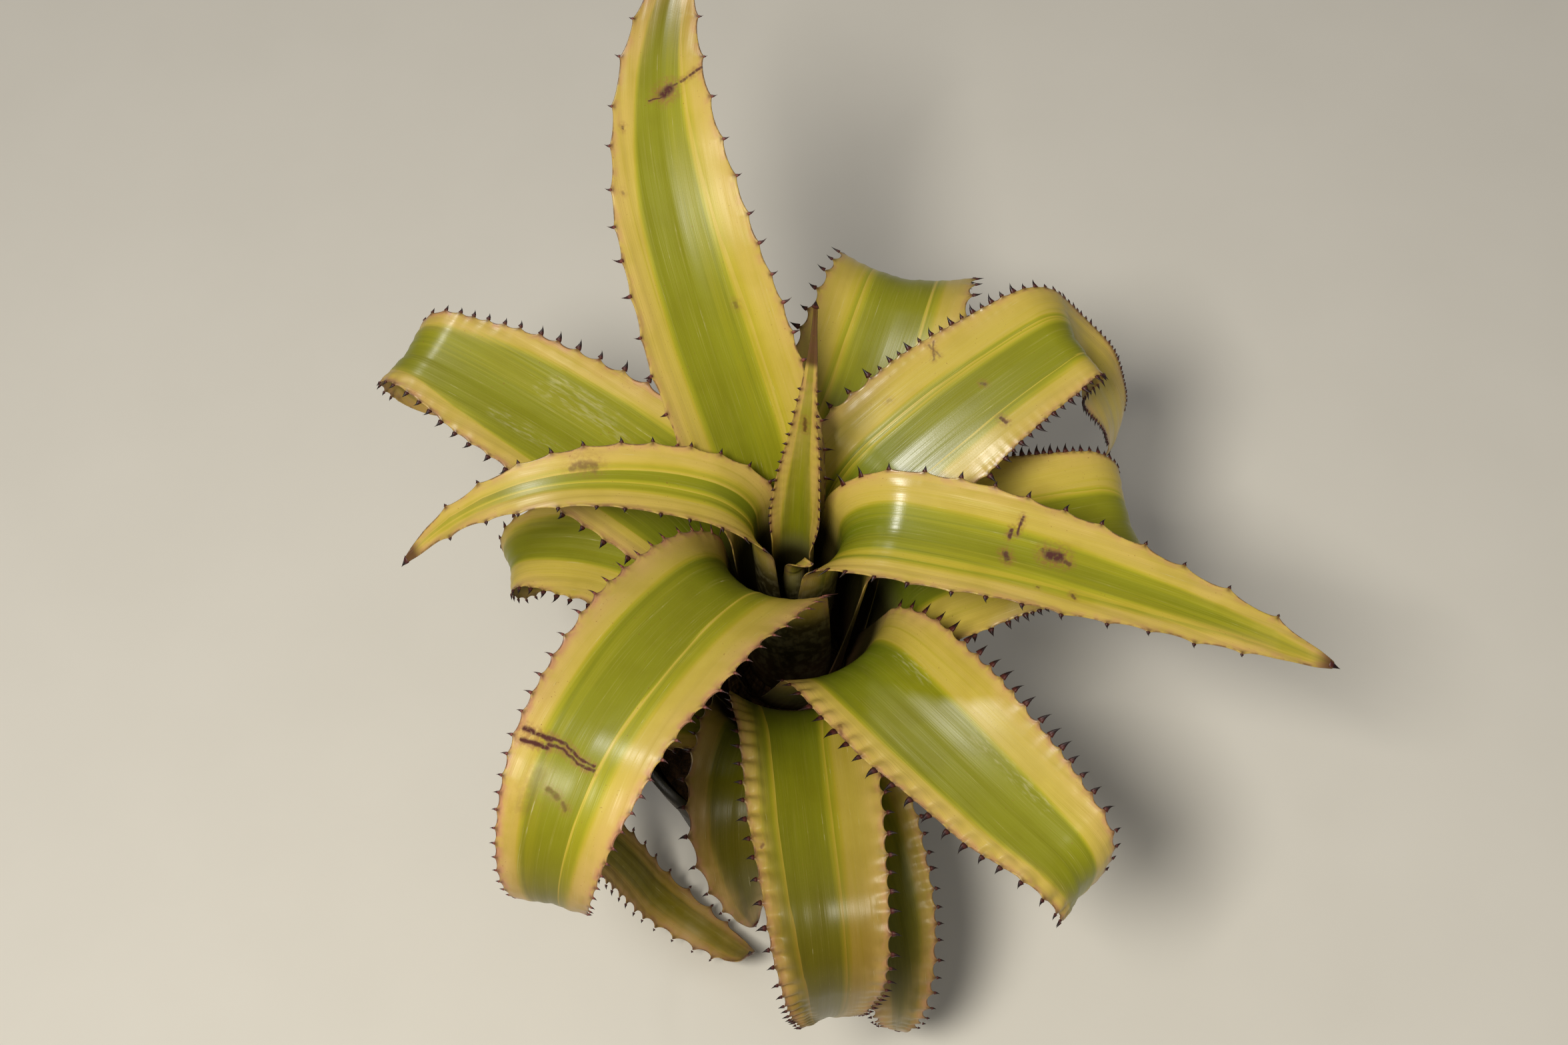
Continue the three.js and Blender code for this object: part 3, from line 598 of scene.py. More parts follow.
def thorn_cones(root, out, along, facing, height, foot, thick, hook):
    """Rings along root + out*v + along*hook*v^2, as wide as 1-v; the last point is at v=1."""
    v = THORN_RINGS[None, :, None, None]
    phi = (np.arange(THORN_SIDES) / THORN_SIDES * 2 * np.pi)[None, None, :, None]
    sizes = (height, foot / 2, thick / 2, hook)
    tall, half_foot, half_thick, lean = (k[:, None, None, None] for k in sizes)
    away, ahead, up = (k[:, None, None, :] for k in (out, along, facing))
    curve = away * v + ahead * lean * np.maximum(v, 0) ** 2 - up * THORN_DROOP * v
    taper = np.clip(1 - v, 0, 1.2)
    turn = np.sign((np.cross(along, out) * facing).sum(-1))[:, None, None, None]
    section = ahead * half_foot * taper ** 1.25 * np.cos(phi) + up * half_thick * taper * np.sin(phi) * turn
    rings = root[:, None, None, :] + tall * curve + section
    tip = root + height[:, None] * (out + along * hook[:, None] - facing * THORN_DROOP)
    return rings.reshape(len(root), -1, 3), tip


def thorn_faces(count, start):
    """Faces of every cone: the sides, the closed foot and the fan at the tip."""
    size = len(THORN_RINGS) * THORN_SIDES + 1
    first = (np.arange(count) * size + start)[:, None, None]
    side = first + grid_faces(len(THORN_RINGS), THORN_SIDES)[None]
    foot = first[:, :, 0] + np.arange(THORN_SIDES)[None]
    m = np.arange(THORN_SIDES) + size - 1 - THORN_SIDES
    n = np.roll(m, -1)
    fan = first + np.stack([m, np.full(THORN_SIDES, size - 1), n], -1)[None]
    return [side.reshape(-1, 4), foot, fan.reshape(-1, 3)]


def margin_thorns(leaf, index, side):
    """Cones and tips on one margin, with their place across and along and their outward vector."""
    places, heights = thorn_places(leaf, index, side)
    x = side * half_width(leaf, places)
    shift, _ = margin_bays(leaf, places, places)
    level = np.zeros_like(x)
    root, facing, outward = leaf_sheet(leaf, places, x + side * shift)
    root = root + facing * relief(leaf, index, places, x, level, level)[:, None]
    t = np.clip((places - leaf["sheath"]) / leaf["blade"], 0, 1)
    along = direction(inclination(leaf, t), azimuth(leaf, t))
    slim = HAIRY_SLIM if leaf["hairy"] else 1.0
    foot = (FOOT_SHARE * heights + FOOT_LEAST) * slim
    thick = THORN_THICK * slim + 0 * heights
    count = np.arange(len(places))
    stray = HOOK_CHANCE * (chance(index, side, count + 0.25) - 0.5)
    hook = HOOK_AT_CUP + HOOK_SWING * smooth(t / 0.45) + stray
    cones, tips = thorn_cones(root, outward * side, along, facing, heights, foot, thick, hook)
    return cones, tips, x, places, outward


def end_spine(leaf):
    """The same for the short spine at the tip, whose height is a share of the width."""
    end = np.array([leaf["sheath"] + leaf["blade"]])
    root, facing, outward = leaf_sheet(leaf, end - SPINE_SUNK, 0 * end)
    along = direction(inclination(leaf, np.ones(1)), azimuth(leaf, np.ones(1)))
    height = np.array([min(SPINE_TALLEST, leaf["width"] * SPINE_SHARE)])
    thick = np.array([THORN_THICK])
    cones, tips = thorn_cones(root, along, outward, facing, height, height * 0.8, thick, 0 * height)
    return cones, tips, 0 * end, end, outward


def leaf_thorns(leaf, index):
    """Points of all the thorns of a leaf and what they tell the finish."""
    batches = [margin_thorns(leaf, index, side) for side in (-1, 1) if leaf["thorn"]] + [end_spine(leaf)]
    cones, tips, x, places, outward = (np.concatenate(k) for k in zip(*batches))
    count, size = cones.shape[:2]
    points = np.concatenate([cones, tips[:, None]], 1)
    v = np.append(np.repeat(np.clip(THORN_RINGS, 0, 1), THORN_SIDES), 1.0)
    ones = np.ones((count, size + 1))
    along = (places - leaf["sheath"])[:, None] * ones
    fields = {
        "lay": outward[:, None] * ones[..., None],
        "flat": np.stack([x[:, None] * ones, along, ones * index * SEED_STEP], -1),
        "place": np.stack([np.sign(x)[:, None] * ones, along / leaf["blade"], 0 * ones], -1),
        "part": np.stack([ones, 0.5 * ones, v[None] * ones], -1),
    }
    return points, fields


def make_leaf(leaf, index):
    """One leaf: skin, ends and thorns fused into a single mesh that stands for its node."""
    loops, skin = blade_skin(leaf, index)
    rows, ring = loops.shape[:2]
    thorns, spikes = leaf_thorns(leaf, index)
    points = np.concatenate([loops.reshape(-1, 3), thorns.reshape(-1, 3)])
    fields = {key: np.concatenate([skin[key].reshape(-1, 3), spikes[key].reshape(-1, 3)]) for key in skin}
    faces = [grid_faces(rows, ring)] + end_faces(rows, ring) + thorn_faces(len(thorns), rows * ring)
    name = f"leaf_{index + 1:02d}"
    piece = add_piece(name + "_blade", name, points, faces, fields)
    return piece, len(thorns)


leaves = []
thorn_total = 0
for index, leaf in enumerate(LEAVES):
    piece, count = make_leaf(leaf, index)
    leaves.append(piece)
    thorn_total += count
print("leaf pieces:", len(leaves), " thorns:", thorn_total,
      " faces:", sum(len(piece.data.polygons) for piece in leaves))

# %% [markdown]
# ## A way of writing finishes
# A finish is a chain of shader nodes. `Finish` adds one node for each call and hands back its output, so
# that a colour can be written like a sum. A value that is an output of another node is linked, and
# anything else is set on the socket. Every finish ends in a Principled shader whose constant settings sit
# on its own sockets.


# %% Finish helper
class Finish:
    """A material in the making: each method adds one node and returns its output."""

    def __init__(self, name):
        self.material = bpy.data.materials.new(name)
        self.material.use_nodes = True
        self.tree = self.material.node_tree
        self.shader = self.tree.nodes["Principled BSDF"]

    def set_input(self, node, key, value):
        if isinstance(value, bpy.types.NodeSocket):
            self.tree.links.new(value, node.inputs[key])
        elif value is not None:
            node.inputs[key].default_value = value

    def add(self, kind, inputs, output=0, **settings):
        node = self.tree.nodes.new("ShaderNode" + kind)
        for key, value in settings.items():
            setattr(node, key, value)
        for key, value in inputs.items():
            self.set_input(node, key, value)
        return node.outputs[output]

    def math(self, operation, a, b=None):
        return self.add("Math", {0: a, 1: b}, operation=operation)

    def times(self, *values):
        result = values[0]
        for value in values[1:]:
            result = self.math("MULTIPLY", result, value)
        return result

    def plus(self, *values):
        result = values[0]
        for value in values[1:]:
            result = self.math("ADD", result, value)
        return result

    def span(self, value, low, high, start=0.0, end=1.0):
        """Soft step from start to end as the value goes from low to high."""
        inputs = {"Value": value, "From Min": low, "From Max": high, "To Min": start, "To Max": end}
        return self.add("MapRange", inputs, interpolation_type="SMOOTHSTEP")

    def blend(self, share, a, b):
        """Colour a where the share is 0 and b where it is 1."""
        a, b = (k if isinstance(k, bpy.types.NodeSocket) else (*k, 1.0) for k in (a, b))
        return self.add("Mix", {0: share, 6: a, 7: b}, output=2, data_type="RGBA")

    def tint(self, share, a, b):
        """Colour a multiplied by b as far as the share says."""
        b = b if isinstance(b, bpy.types.NodeSocket) else (*b, 1.0)
        return self.add("Mix", {0: share, 6: a, 7: b}, output=2, data_type="RGBA", blend_type="MULTIPLY")

    def vector(self, x, y, z):
        return self.add("CombineXYZ", {0: x, 1: y, 2: z})

    def parts(self, vector):
        """The three parts of a vector."""
        node = self.add("SeparateXYZ", {0: vector}).node
        return node.outputs[0], node.outputs[1], node.outputs[2]

    def field(self, name):
        """The three parts of an attribute of the mesh."""
        return self.parts(self.add("Attribute", {}, output="Vector", attribute_name=name))

    def place(self):
        """The three parts of the place on the object, in millimetres."""
        where = self.add("TexCoord", {}, output="Object")
        return self.parts(self.add("VectorMath", {0: where, "Scale": 1 / MM}, operation="SCALE"))

    def noise(self, vector, scale=1.0, detail=2.0, roughness=0.5):
        inputs = {"Vector": vector, "Scale": scale, "Detail": detail, "Roughness": roughness}
        return self.add("TexNoise", inputs)

    def ramp(self, value, stops):
        """Colour read off a list of (place, colour) stops."""
        node = self.add("ValToRGB", {0: value}).node
        elements = node.color_ramp.elements
        while len(elements) < len(stops):
            elements.new(0.5)
        for element, (place, colour) in zip(elements, stops):
            element.position = place
            element.color = (*colour, 1.0)
        return node.outputs[0]

    def bump(self, height, distance):
        return self.add("Bump", {"Height": height, "Distance": distance})

    def close(self, **inputs):
        """Fill the shader's sockets by name, with underscores for spaces."""
        for key, value in inputs.items():
            self.set_input(self.shader, key.replace("_", " "), value)
        return self.material


print("ways to write a finish:", ", ".join(name for name in vars(Finish) if name[0] != "_"))

# %% [markdown]
# ## The look of a leaf
# Every leaf carries the same green band between cream borders, but its stripes, scars and spots are its
# own. The pattern is read from fields on the mesh, so it follows the leaf: `flat` is the place in
# millimetres as if the leaf were pressed flat, `place` the shares across and along and the distance from
# the margin, and `part` tells thorns and underside apart. A streak is noise drawn out more than seventy
# times along the leaf. Stripe edges are shifted by such streaks, which gives the combed look of real
# variegation.

# %% Leaf colours
CREAM = (0.60, 0.475, 0.090)
BUTTER = (0.53, 0.44, 0.040)
LIME = (0.40, 0.385, 0.020)
GREEN = (0.26, 0.27, 0.012)
DEEP_GREEN = (0.13, 0.18, 0.010)
PALE_STREAK = (0.66, 0.58, 0.20)
PEACH = (0.64, 0.42, 0.165)
ROSE = (0.52, 0.21, 0.17)
PURPLE_BROWN = (0.060, 0.013, 0.015)
FRECKLE_BROWN = (0.26, 0.10, 0.03)
SCAR_BROWN = (0.075, 0.017, 0.013)
SCAR_HALO = (0.30, 0.13, 0.05)
SCURF = (0.70, 0.66, 0.42)
IVORY = (0.44, 0.42, 0.17)
HUSK_BROWN = (0.13, 0.070, 0.035)
SCALES = (0.36, 0.33, 0.18)
CLOUD_TINT = (0.80, 0.76, 0.62)
# Tints that paint shade: the first darkens whole leaves that get less light, the second darkens the tips in
# part, and the third darkens the sheaths deep in the cup nearly to black.
SHADE_TINT = (0.42, 0.40, 0.30)
DUSK_TINT = (0.54, 0.43, 0.34)
CUP_SHADE_TINT = (0.05, 0.04, 0.03)
BACK_TINT = (0.66, 0.64, 0.60)
print("from cream to deep green:", CREAM, BUTTER, LIME, GREEN, DEEP_GREEN)

# %% Stripes
SOFT_EDGE = 0.07


def stripe_stops(stripes):
    """Stops over the share across: 0 in the cream, a stripe's depth of green inside it, with soft edges."""
    changes = {}
    for low, high, green in stripes:
        changes.setdefault(high, 0.0)
        changes[low] = green
    stops, tone, before = [(0.0, (0, 0, 0))], 0.0, 0.0
    for place in sorted(changes):
        middle = (place + 1) / 2
        soft = min(SOFT_EDGE, (middle - before) * 0.9)
        stops += [(middle - soft / 2, (tone,) * 3), (middle + soft / 2, (changes[place],) * 3)]
        tone = changes[place]
        before = middle + soft / 2
    return stops


print("stops across leaf 6:", len(stripe_stops(LEAVES[5]["stripes"])))

# %% [markdown]
# ### Scars
# Where a real leaf was bent or scraped, a short dark line with a paler halo stays. A painted image could
# show it, but a soft step on the distance from a short line needs only six numbers a scar and stays sharp
# close up. The place is shaken by noise before the distance is taken, so no scar has a ruled edge.


# %% Scars
def scar(mat, across, along, mark, leaf):
    """Darkness of a mark and of its halo: soft steps on the distance from a short line."""
    y0, u0, y1, u1, size, dark = mark
    x0, x1 = (u * half_width(leaf, leaf["sheath"] + y) for u, y in ((u0, y0), (u1, y1)))
    length = max(np.hypot(x1 - x0, y1 - y0), 0.01)
    dx, dy = (x1 - x0) / length, (y1 - y0) / length
    px, py = mat.plus(across, -x0), mat.plus(along, -y0)
    run = mat.plus(mat.times(px, dx), mat.times(py, dy))
    off = mat.plus(mat.times(px, -dy), mat.times(py, dx))
    over = mat.math("SUBTRACT", run, mat.add("Clamp", {0: run, 1: 0.0, 2: length}))
    distance = mat.math("SQRT", mat.plus(mat.times(over, over), mat.times(off, off)))
    core = mat.span(distance, size * 1.3, size * 0.3, 0.0, dark)
    halo = mat.span(distance, size * 3 + 0.4, size, 0.0, dark)
    return core, halo


def largest(mat, values):
    """The largest of several values."""
    result = values[0]
    for value in values[1:]:
        result = mat.math("MAXIMUM", result, value)
    return result


print("marks on all leaves:", sum(len(leaf["marks"]) for leaf in LEAVES))

# %% [markdown]
# ### Streaks and variegation
# The green runs in long fine streaks, because a leaf grows from its foot. So every noise has its own pair
# of scales, across and along, and most are drawn out along the leaf. The stripes are read at a place that
# the streaks push a little to either side.

# %% Streaks and variegation
NOISES = dict(slow=(0.10, 0.012, 1.0), combed=(0.9, 0.012, 3.0), fine=(3.6, 0.05, 2.0),
              cloud=(0.15, 0.10, 3.0), blot=(0.5, 0.35, 2.0), grain=(2.2, 2.2, 2.0),
              crumb=(1.3, 1.2, 3.0), worn=(0.6, 0.7, 2.0))


def leaf_noises(mat, x, y, seed):
    """Noise fields of a leaf, each with its own scales across and along and its own detail."""
    fields = {}
    for name, (across, along, detail) in NOISES.items():
        where = mat.vector(mat.times(x, across), mat.times(y, along), seed)
        fields[name] = mat.noise(where, detail=detail)
    return fields


def variegation(mat, leaf, u, t, n):
    """Green stripes on cream, shifted by the streaks, pale towards the tip, deeper near the cup partly as
    painted shade, and dimmed by a leaf's painted shade.
    """
    drift = mat.plus(mat.times(n["slow"], 0.09), mat.times(n["combed"], 0.05), -0.07)
    bands = mat.ramp(mat.plus(mat.times(u, 0.5), 0.5, drift), stripe_stops(leaf["stripes"]))
    green = mat.add("RGBToBW", {0: bands})
    if leaf["fading"]:
        start, end, left = leaf["fading"]
        green = mat.times(green, mat.span(t, start, end, 1.0, left))
    green = mat.times(green, mat.plus(mat.times(n["combed"], 0.35), mat.times(n["cloud"], 0.20), 0.74))
    green = mat.add("Clamp", {0: mat.plus(green, mat.span(n["combed"], 0.50, 0.78, 0.03, 0.20))})
    colour = mat.ramp(green, [(0.0, CREAM), (0.22, BUTTER), (0.5, LIME), (0.9, GREEN), (1.0, GREEN)])
    # Deeper green towards the cup: partly the leaf's own colour and partly painted shade.
    deep = mat.times(green, mat.span(t, 0.30, 0.04, 0.0, leaf["deep"]))
    colour = mat.blend(deep, colour, DEEP_GREEN)
    colour = mat.blend(mat.span(n["fine"], 0.50, 0.80, 0.0, 0.14), colour, PALE_STREAK)
    colour = mat.tint(mat.span(n["cloud"], 0.60, 0.30, 0.0, 0.35), colour, CLOUD_TINT)
    # Painted shade: a whole leaf that gets less light is darkened as far as its `shade` says.
    return mat.tint(leaf["shade"], colour, SHADE_TINT)


print("noise fields:", ", ".join(NOISES))

# %% [markdown]
# ### Margins and wear
# In strong light the cream flushes peach and rose towards the margin, and a thin brown rim joins the
# thorns. The leaves also have freckles, pale scurf and rubbed places. Each is a soft step on a field or a
# noise, laid over the colour so far, so that one can be changed without the others.

# %% Margins and wear
SCUFF_WIDTH = 2.2
SCAR_WOBBLE = 0.9


def margin_tinges(mat, leaf, colour, u, t, edge, near_thorn, n):
    """Peach and rose towards the margin, a thin brown rim, and purple round the feet of the thorns."""
    wash = mat.times(mat.span(edge, 7.0, 1.5), mat.span(n["cloud"], 0.35, 0.65, 0.35, 1.0))
    colour = mat.blend(mat.times(wash, 0.30 + 0.40 * leaf["rosy"]), colour, PEACH)
    flush = mat.times(mat.span(edge, 2.2, 0.3), mat.span(n["blot"], 0.40, 0.60, 0.2, 1.0))
    flush = mat.times(flush, 0.25 + 0.4 * leaf["rosy"])
    colour = mat.blend(flush, colour, ROSE)
    rim = mat.times(mat.span(edge, 0.30, 0.05), mat.span(n["blot"], 0.40, 0.62, 0.10, 0.60))
    cusps = mat.times(mat.math("POWER", near_thorn, 2.5), mat.span(edge, 1.1, 0.2))
    tip = leaf["purple_tip"]
    end = mat.span(t, tip - 0.02, tip + 0.02, 0.0, 0.85)
    return mat.blend(largest(mat, [rim, cusps, end]), colour, PURPLE_BROWN)


def wear(mat, leaf, colour, x, y, seed, n):
    """Freckles, scurf, silvery scuffs and the leaf's own scars; hands back the colour and the damage."""
    freckles = mat.times(mat.span(n["grain"], 0.69, 0.75), mat.span(n["cloud"], 0.45, 0.60), 0.75)
    colour = mat.blend(freckles, colour, FRECKLE_BROWN)
    scurf = mat.times(mat.span(n["fine"], 0.64, 0.80), mat.span(n["blot"], 0.52, 0.66), 0.40)
    colour = mat.blend(scurf, colour, SCURF)
    for low, high, line in leaf["scuffs"]:
        band, _ = scar(mat, x, y, (low, line, high, line, SCUFF_WIDTH, 1.0), leaf)
        ripple = mat.noise(mat.vector(mat.times(x, 1.5), mat.times(y, 0.3), seed), detail=3.0)
        colour = mat.blend(mat.times(band, mat.span(ripple, 0.45, 0.75), 0.32), colour, SCURF)
    if not leaf["marks"]:
        return colour, None
    worn_x = mat.plus(x, mat.times(mat.plus(n["worn"], -0.5), SCAR_WOBBLE))
    worn_y = mat.plus(y, mat.times(mat.plus(n["worn"], -0.5), -SCAR_WOBBLE))
    cores, halos = zip(*[scar(mat, worn_x, worn_y, mark, leaf) for mark in leaf["marks"]])
    halo = mat.times(largest(mat, halos), mat.span(n["crumb"], 0.35, 0.62, 0.1, 0.65))
    damage = mat.times(largest(mat, cores), mat.span(n["crumb"], 0.30, 0.50, 0.75, 1.0))
    return mat.blend(damage, mat.blend(halo, colour, SCAR_HALO), SCAR_BROWN), damage


print("scuffs on all leaves:", sum(len(leaf["scuffs"]) for leaf in LEAVES))

# %% [markdown]
# ### Sheath and underside
# The cup holds water and gets almost no light, so the sheaths carry painted shade: below the neck they
# are darkened nearly to black, and the backs of the outer leaves are spared most of it. The leaves are dry
# and brown at the foot. The underside is duller, with faint rows of pale scales. All of it follows from the
# length along the leaf and from the face on which a point lies.

# %% Sheath and underside
OUTER_FOOT = 14.0
SPARED_BACK = 0.75


def sheath_and_back(mat, leaf, colour, y, t, under, n):
    """A pale neck, a papery foot, painted shade deep in the cup, and a dull underside with rows of scales.
    """
    colour = mat.blend(mat.span(t, 0.02, -0.14, 0.0, 0.65), colour, IVORY)
    # Painted shade: the sheaths below the neck are darkened nearly to black where the cup lies in shadow,
    # and the backs of the outer leaves are spared most of it.
    spared = SPARED_BACK if leaf["foot"] > OUTER_FOOT else 0.0
    cup_shade = mat.times(mat.plus(1.0, mat.times(under, -spared)), mat.span(y, 2.0, -12.0, 0.0, 0.96))
    colour = mat.tint(cup_shade, colour, CUP_SHADE_TINT)
    foot = mat.span(y, -leaf["sheath"] * 0.45, -leaf["sheath"] * 0.95)
    colour = mat.blend(mat.times(foot, mat.span(n["combed"], 0.3, 0.6, 0.6, 1.0)), colour, HUSK_BROWN)
    colour = mat.tint(mat.times(under, leaf["dull"]), colour, BACK_TINT)
    scale_rows = mat.times(under, mat.span(n["blot"], 0.42, 0.62), mat.span(n["fine"], 0.3, 0.6, 0.4, 1.0))
    return mat.blend(mat.times(scale_rows, 0.25 * leaf["dull"]), colour, SCALES)


# The outer leaves whose backs are spared most of the painted shade of the cup.
print("leaves with a clean back:", sum(leaf["foot"] > OUTER_FOOT for leaf in LEAVES))

# %% [markdown]
# ### The layers together
# The layers are laid one over another, and the thorns last. The gloss has a lay, as brushed metal has,
# because the leaf's fine parallel veins spread a highlight. A slight bump from the same streaks lets the
# veins catch the light.

# %% Leaf finish
SPECULAR = 0.28
BRUSHED = 0.55
VEIN_DEPTH = 0.00009
THORN_STOPS = [(0.0, (0.075, 0.018, 0.016)), (0.2, (0.022, 0.006, 0.008)), (0.6, (0.009, 0.004, 0.005)),
               (1.0, (0.030, 0.011, 0.009))]
HAIRY_STOPS = [(0.0, (0.20, 0.06, 0.05)), (0.2, (0.05, 0.012, 0.016)), (0.6, (0.035, 0.011, 0.013)),
               (1.0, (0.10, 0.05, 0.04))]


def leaf_finish(leaf, index):
    """Stripes first, then tinges, wear, sheath, underside and thorns, each laid over the last."""
    mat = Finish(f"leaf_{index + 1:02d}_skin")
    x, y, seed = mat.field("flat")
    u, t, edge = mat.field("place")
    near_thorn, under, spine = mat.field("part")
    n = leaf_noises(mat, x, y, seed)
    colour = variegation(mat, leaf, u, t, n)
    # Towards the tip the leaf darkens, partly its own dull colour and partly painted shade.
    colour = mat.tint(mat.span(t, leaf["dusk"], leaf["dusk"] + 0.28, 0.0, 0.85), colour, DUSK_TINT)
    colour = margin_tinges(mat, leaf, colour, u, t, edge, near_thorn, n)
    colour, damage = wear(mat, leaf, colour, x, y, seed, n)
    colour = sheath_and_back(mat, leaf, colour, y, t, under, n)
    on_thorn = mat.math("GREATER_THAN", spine, -0.5)
    colour = mat.blend(on_thorn, colour, mat.ramp(spine, HAIRY_STOPS if leaf["hairy"] else THORN_STOPS))
    streaks = mat.plus(mat.times(n["fine"], 0.16), mat.times(n["combed"], 0.10), mat.times(under, 0.16))
    rough = mat.plus(streaks, leaf["rough"])
    if damage is not None:
        rough = mat.plus(rough, mat.times(damage, 0.40))
    veins = mat.plus(mat.times(n["fine"], 0.35), n["combed"], mat.times(n["grain"], 0.08))
    lay = mat.add("Attribute", {}, output="Vector", attribute_name="lay")
    normal = mat.bump(veins, VEIN_DEPTH)
    return mat.close(Base_Color=colour, Roughness=rough, Specular_IOR_Level=SPECULAR, Normal=normal,
                     Anisotropic=BRUSHED, Tangent=lay)


for index, (leaf, piece) in enumerate(zip(LEAVES, leaves)):
    piece.data.materials.append(leaf_finish(leaf, index))
print("nodes in the finish of leaf 6:", len(leaves[5].data.materials[0].node_tree.nodes))

# %% [markdown]
# ## The stock
# Under the leaves the short stem shows the rings where older leaves were torn off. It is a profile turned
# about the upright axis whose radius is pushed in and out by sharp rings and by fibres that run
# lengthwise. The profile's steps follow the feet of the leaves, so the stock stays inside their sheaths.

# %% Turned surfaces
def turned(profile, rows, columns):
    """Heights, radii and angles of a profile turned about the upright axis, even along the profile."""
    z, r = np.array(profile, float).T
    run = np.concatenate([[0], np.cumsum(np.hypot(np.diff(z), np.diff(r)))])
    at = np.linspace(0, run[-1], rows)
    phi = np.arange(columns) / columns * 2 * np.pi
    return np.interp(at, run, z)[:, None], np.interp(at, run, r)[:, None], phi[None, :]


def ring_points(radius, phi, height):
    """Points of a turned surface from radius, angle and height."""
    shape = np.broadcast(radius, phi, height).shape
    columns = [radius * np.cos(phi), radius * np.sin(phi), height]
    return np.stack([np.broadcast_to(k, shape) for k in columns], -1).reshape(-1, 3)


def closed_turned(points, rows, columns):
    """Points and faces of a turned surface whose first and last row are closed by one pole each."""
    grid = points.reshape(rows, columns, 3)
    poles = np.stack([grid[0].mean(0), grid[-1].mean(0)])
    j = np.arange(columns)
    n = (j + 1) % columns
    count = rows * columns
    last = (rows - 1) * columns
    low = np.stack([np.full(columns, count), j, n], -1)
    high = np.stack([np.full(columns, count + 1), last + n, last + j], -1)
    sides = grid_faces(rows, columns)[:, ::-1]
    return np.concatenate([points, poles]), [sides, low[:, ::-1], high[:, ::-1]]


z, r, phi = turned([(0, 0), (0, 5), (8, 5)], 5, 4)
print("heights of a small turned profile:", z.ravel(), "mm")

# %% Stock
SHOULDER_Z = 62
STEM_RADIUS = 10.5
STOCK_FOOT = [(40, 0), (40, 9.0), (41.5, STEM_RADIUS), (61.5, STEM_RADIUS), (SHOULDER_Z, 12.5)]
STOCK_STEPS = [(leaf["base"], leaf["foot"] - 0.75) for leaf in reversed(LEAVES)]
STOCK_ROWS = 240
STOCK_COLUMNS = 180
SCAR_RING = 0.45

z, r, phi = turned(STOCK_FOOT + STOCK_STEPS + [(101, 0)], STOCK_ROWS, STOCK_COLUMNS)
inner = np.clip(r / 6, 0, 1)
ring = np.abs(np.sin(z * 0.9 + 0.35 * np.sin(phi * 2))) ** 0.4
fibre = np.sin(phi * 37 + 3 * np.sin(z * 0.2)) * 0.12 + np.sin(phi * 61 + z * 0.1) * 0.08
radius = r + inner * (fibre + SCAR_RING * ring - 0.75)
radius = np.where(z > SHOULDER_Z, np.minimum(radius, r - 0.15), np.minimum(radius, STEM_RADIUS - 0.05))
points = ring_points(np.maximum(radius, 0.02), phi, z + 0 * phi)
points, faces = closed_turned(points, STOCK_ROWS, STOCK_COLUMNS)
stock = add_piece("stock_scarred", "stock", points, faces)

# %% [markdown]
# ### Stem fibre
# The torn sheaths leave brown fibre. Noise on the angle about the stem, drawn out upwards, makes the
# strands, and a second noise in flat rings makes the bands of the old leaves.

# %% Stock finish
FIBRE_STOPS = [(0.25, (0.035, 0.016, 0.008)), (0.5, (0.16, 0.085, 0.035)), (0.75, (0.34, 0.22, 0.11))]
FIBRE_TINT = (0.45, 0.38, 0.32)
mat = Finish("stock_fibre")
x, y, z = mat.place()
turns = mat.math("ARCTAN2", y, x)
strand = mat.noise(mat.vector(mat.times(turns, 14.0), mat.times(z, 0.12), 1.0), detail=4.0)
bands = mat.noise(mat.vector(mat.times(turns, 0.8), mat.times(z, 0.8), 4.0), detail=3.0)
colour = mat.ramp(strand, FIBRE_STOPS)
colour = mat.tint(mat.span(bands, 0.6, 0.4, 0.0, 0.8), colour, FIBRE_TINT)
normal = mat.bump(mat.plus(strand, mat.times(bands, 0.6)), 0.0006)
stock.data.materials.append(mat.close(Base_Color=colour, Roughness=0.85, Normal=normal))
print("nodes in the stock's finish:", len(mat.tree.nodes))

# %% [markdown]
# ## The potting mix
# The pot holds an open mix of bark for an epiphyte. The body of the mix is a turned surface with an
# uneven top, and the bark is some three hundred chips fused into the same mesh, each a six-sided shard of
# three rings. They are scattered with a seeded draw, lie nearly flat, and are half sunk.

# %% Body of the mix
POT_FOOT_RADIUS = 30.0
POT_BAND_Z = 59.0
POT_BAND_RADIUS = 41.5
POT_WALL = 1.4
MIX_TOP = 59.5
MIX_HOLE = 10.8
MIX_HOLE_Z = 39.7
MIX_EDGE_Z = 57.3
MIX_GAP = 0.3
MIX_FOOT_Z = 2.1
MIX_ROWS = 260
MIX_COLUMNS = 128


def pot_inner(z):
    """Inner radius of the pot's wall at a height."""
    return POT_FOOT_RADIUS + (POT_BAND_RADIUS - POT_FOOT_RADIUS) / POT_BAND_Z * z - POT_WALL


def mix_height(x, y):
    """Uneven top of the mix: a sum of three slow sines."""
    wave = np.sin(0.31 * x + 0.9) * np.cos(0.27 * y - 0.4)
    wave = wave + 0.6 * np.sin(0.62 * x - 0.48 * y + 2.1) + 0.4 * np.cos(0.83 * y + 0.71 * x)
    return MIX_TOP + 0.55 * wave


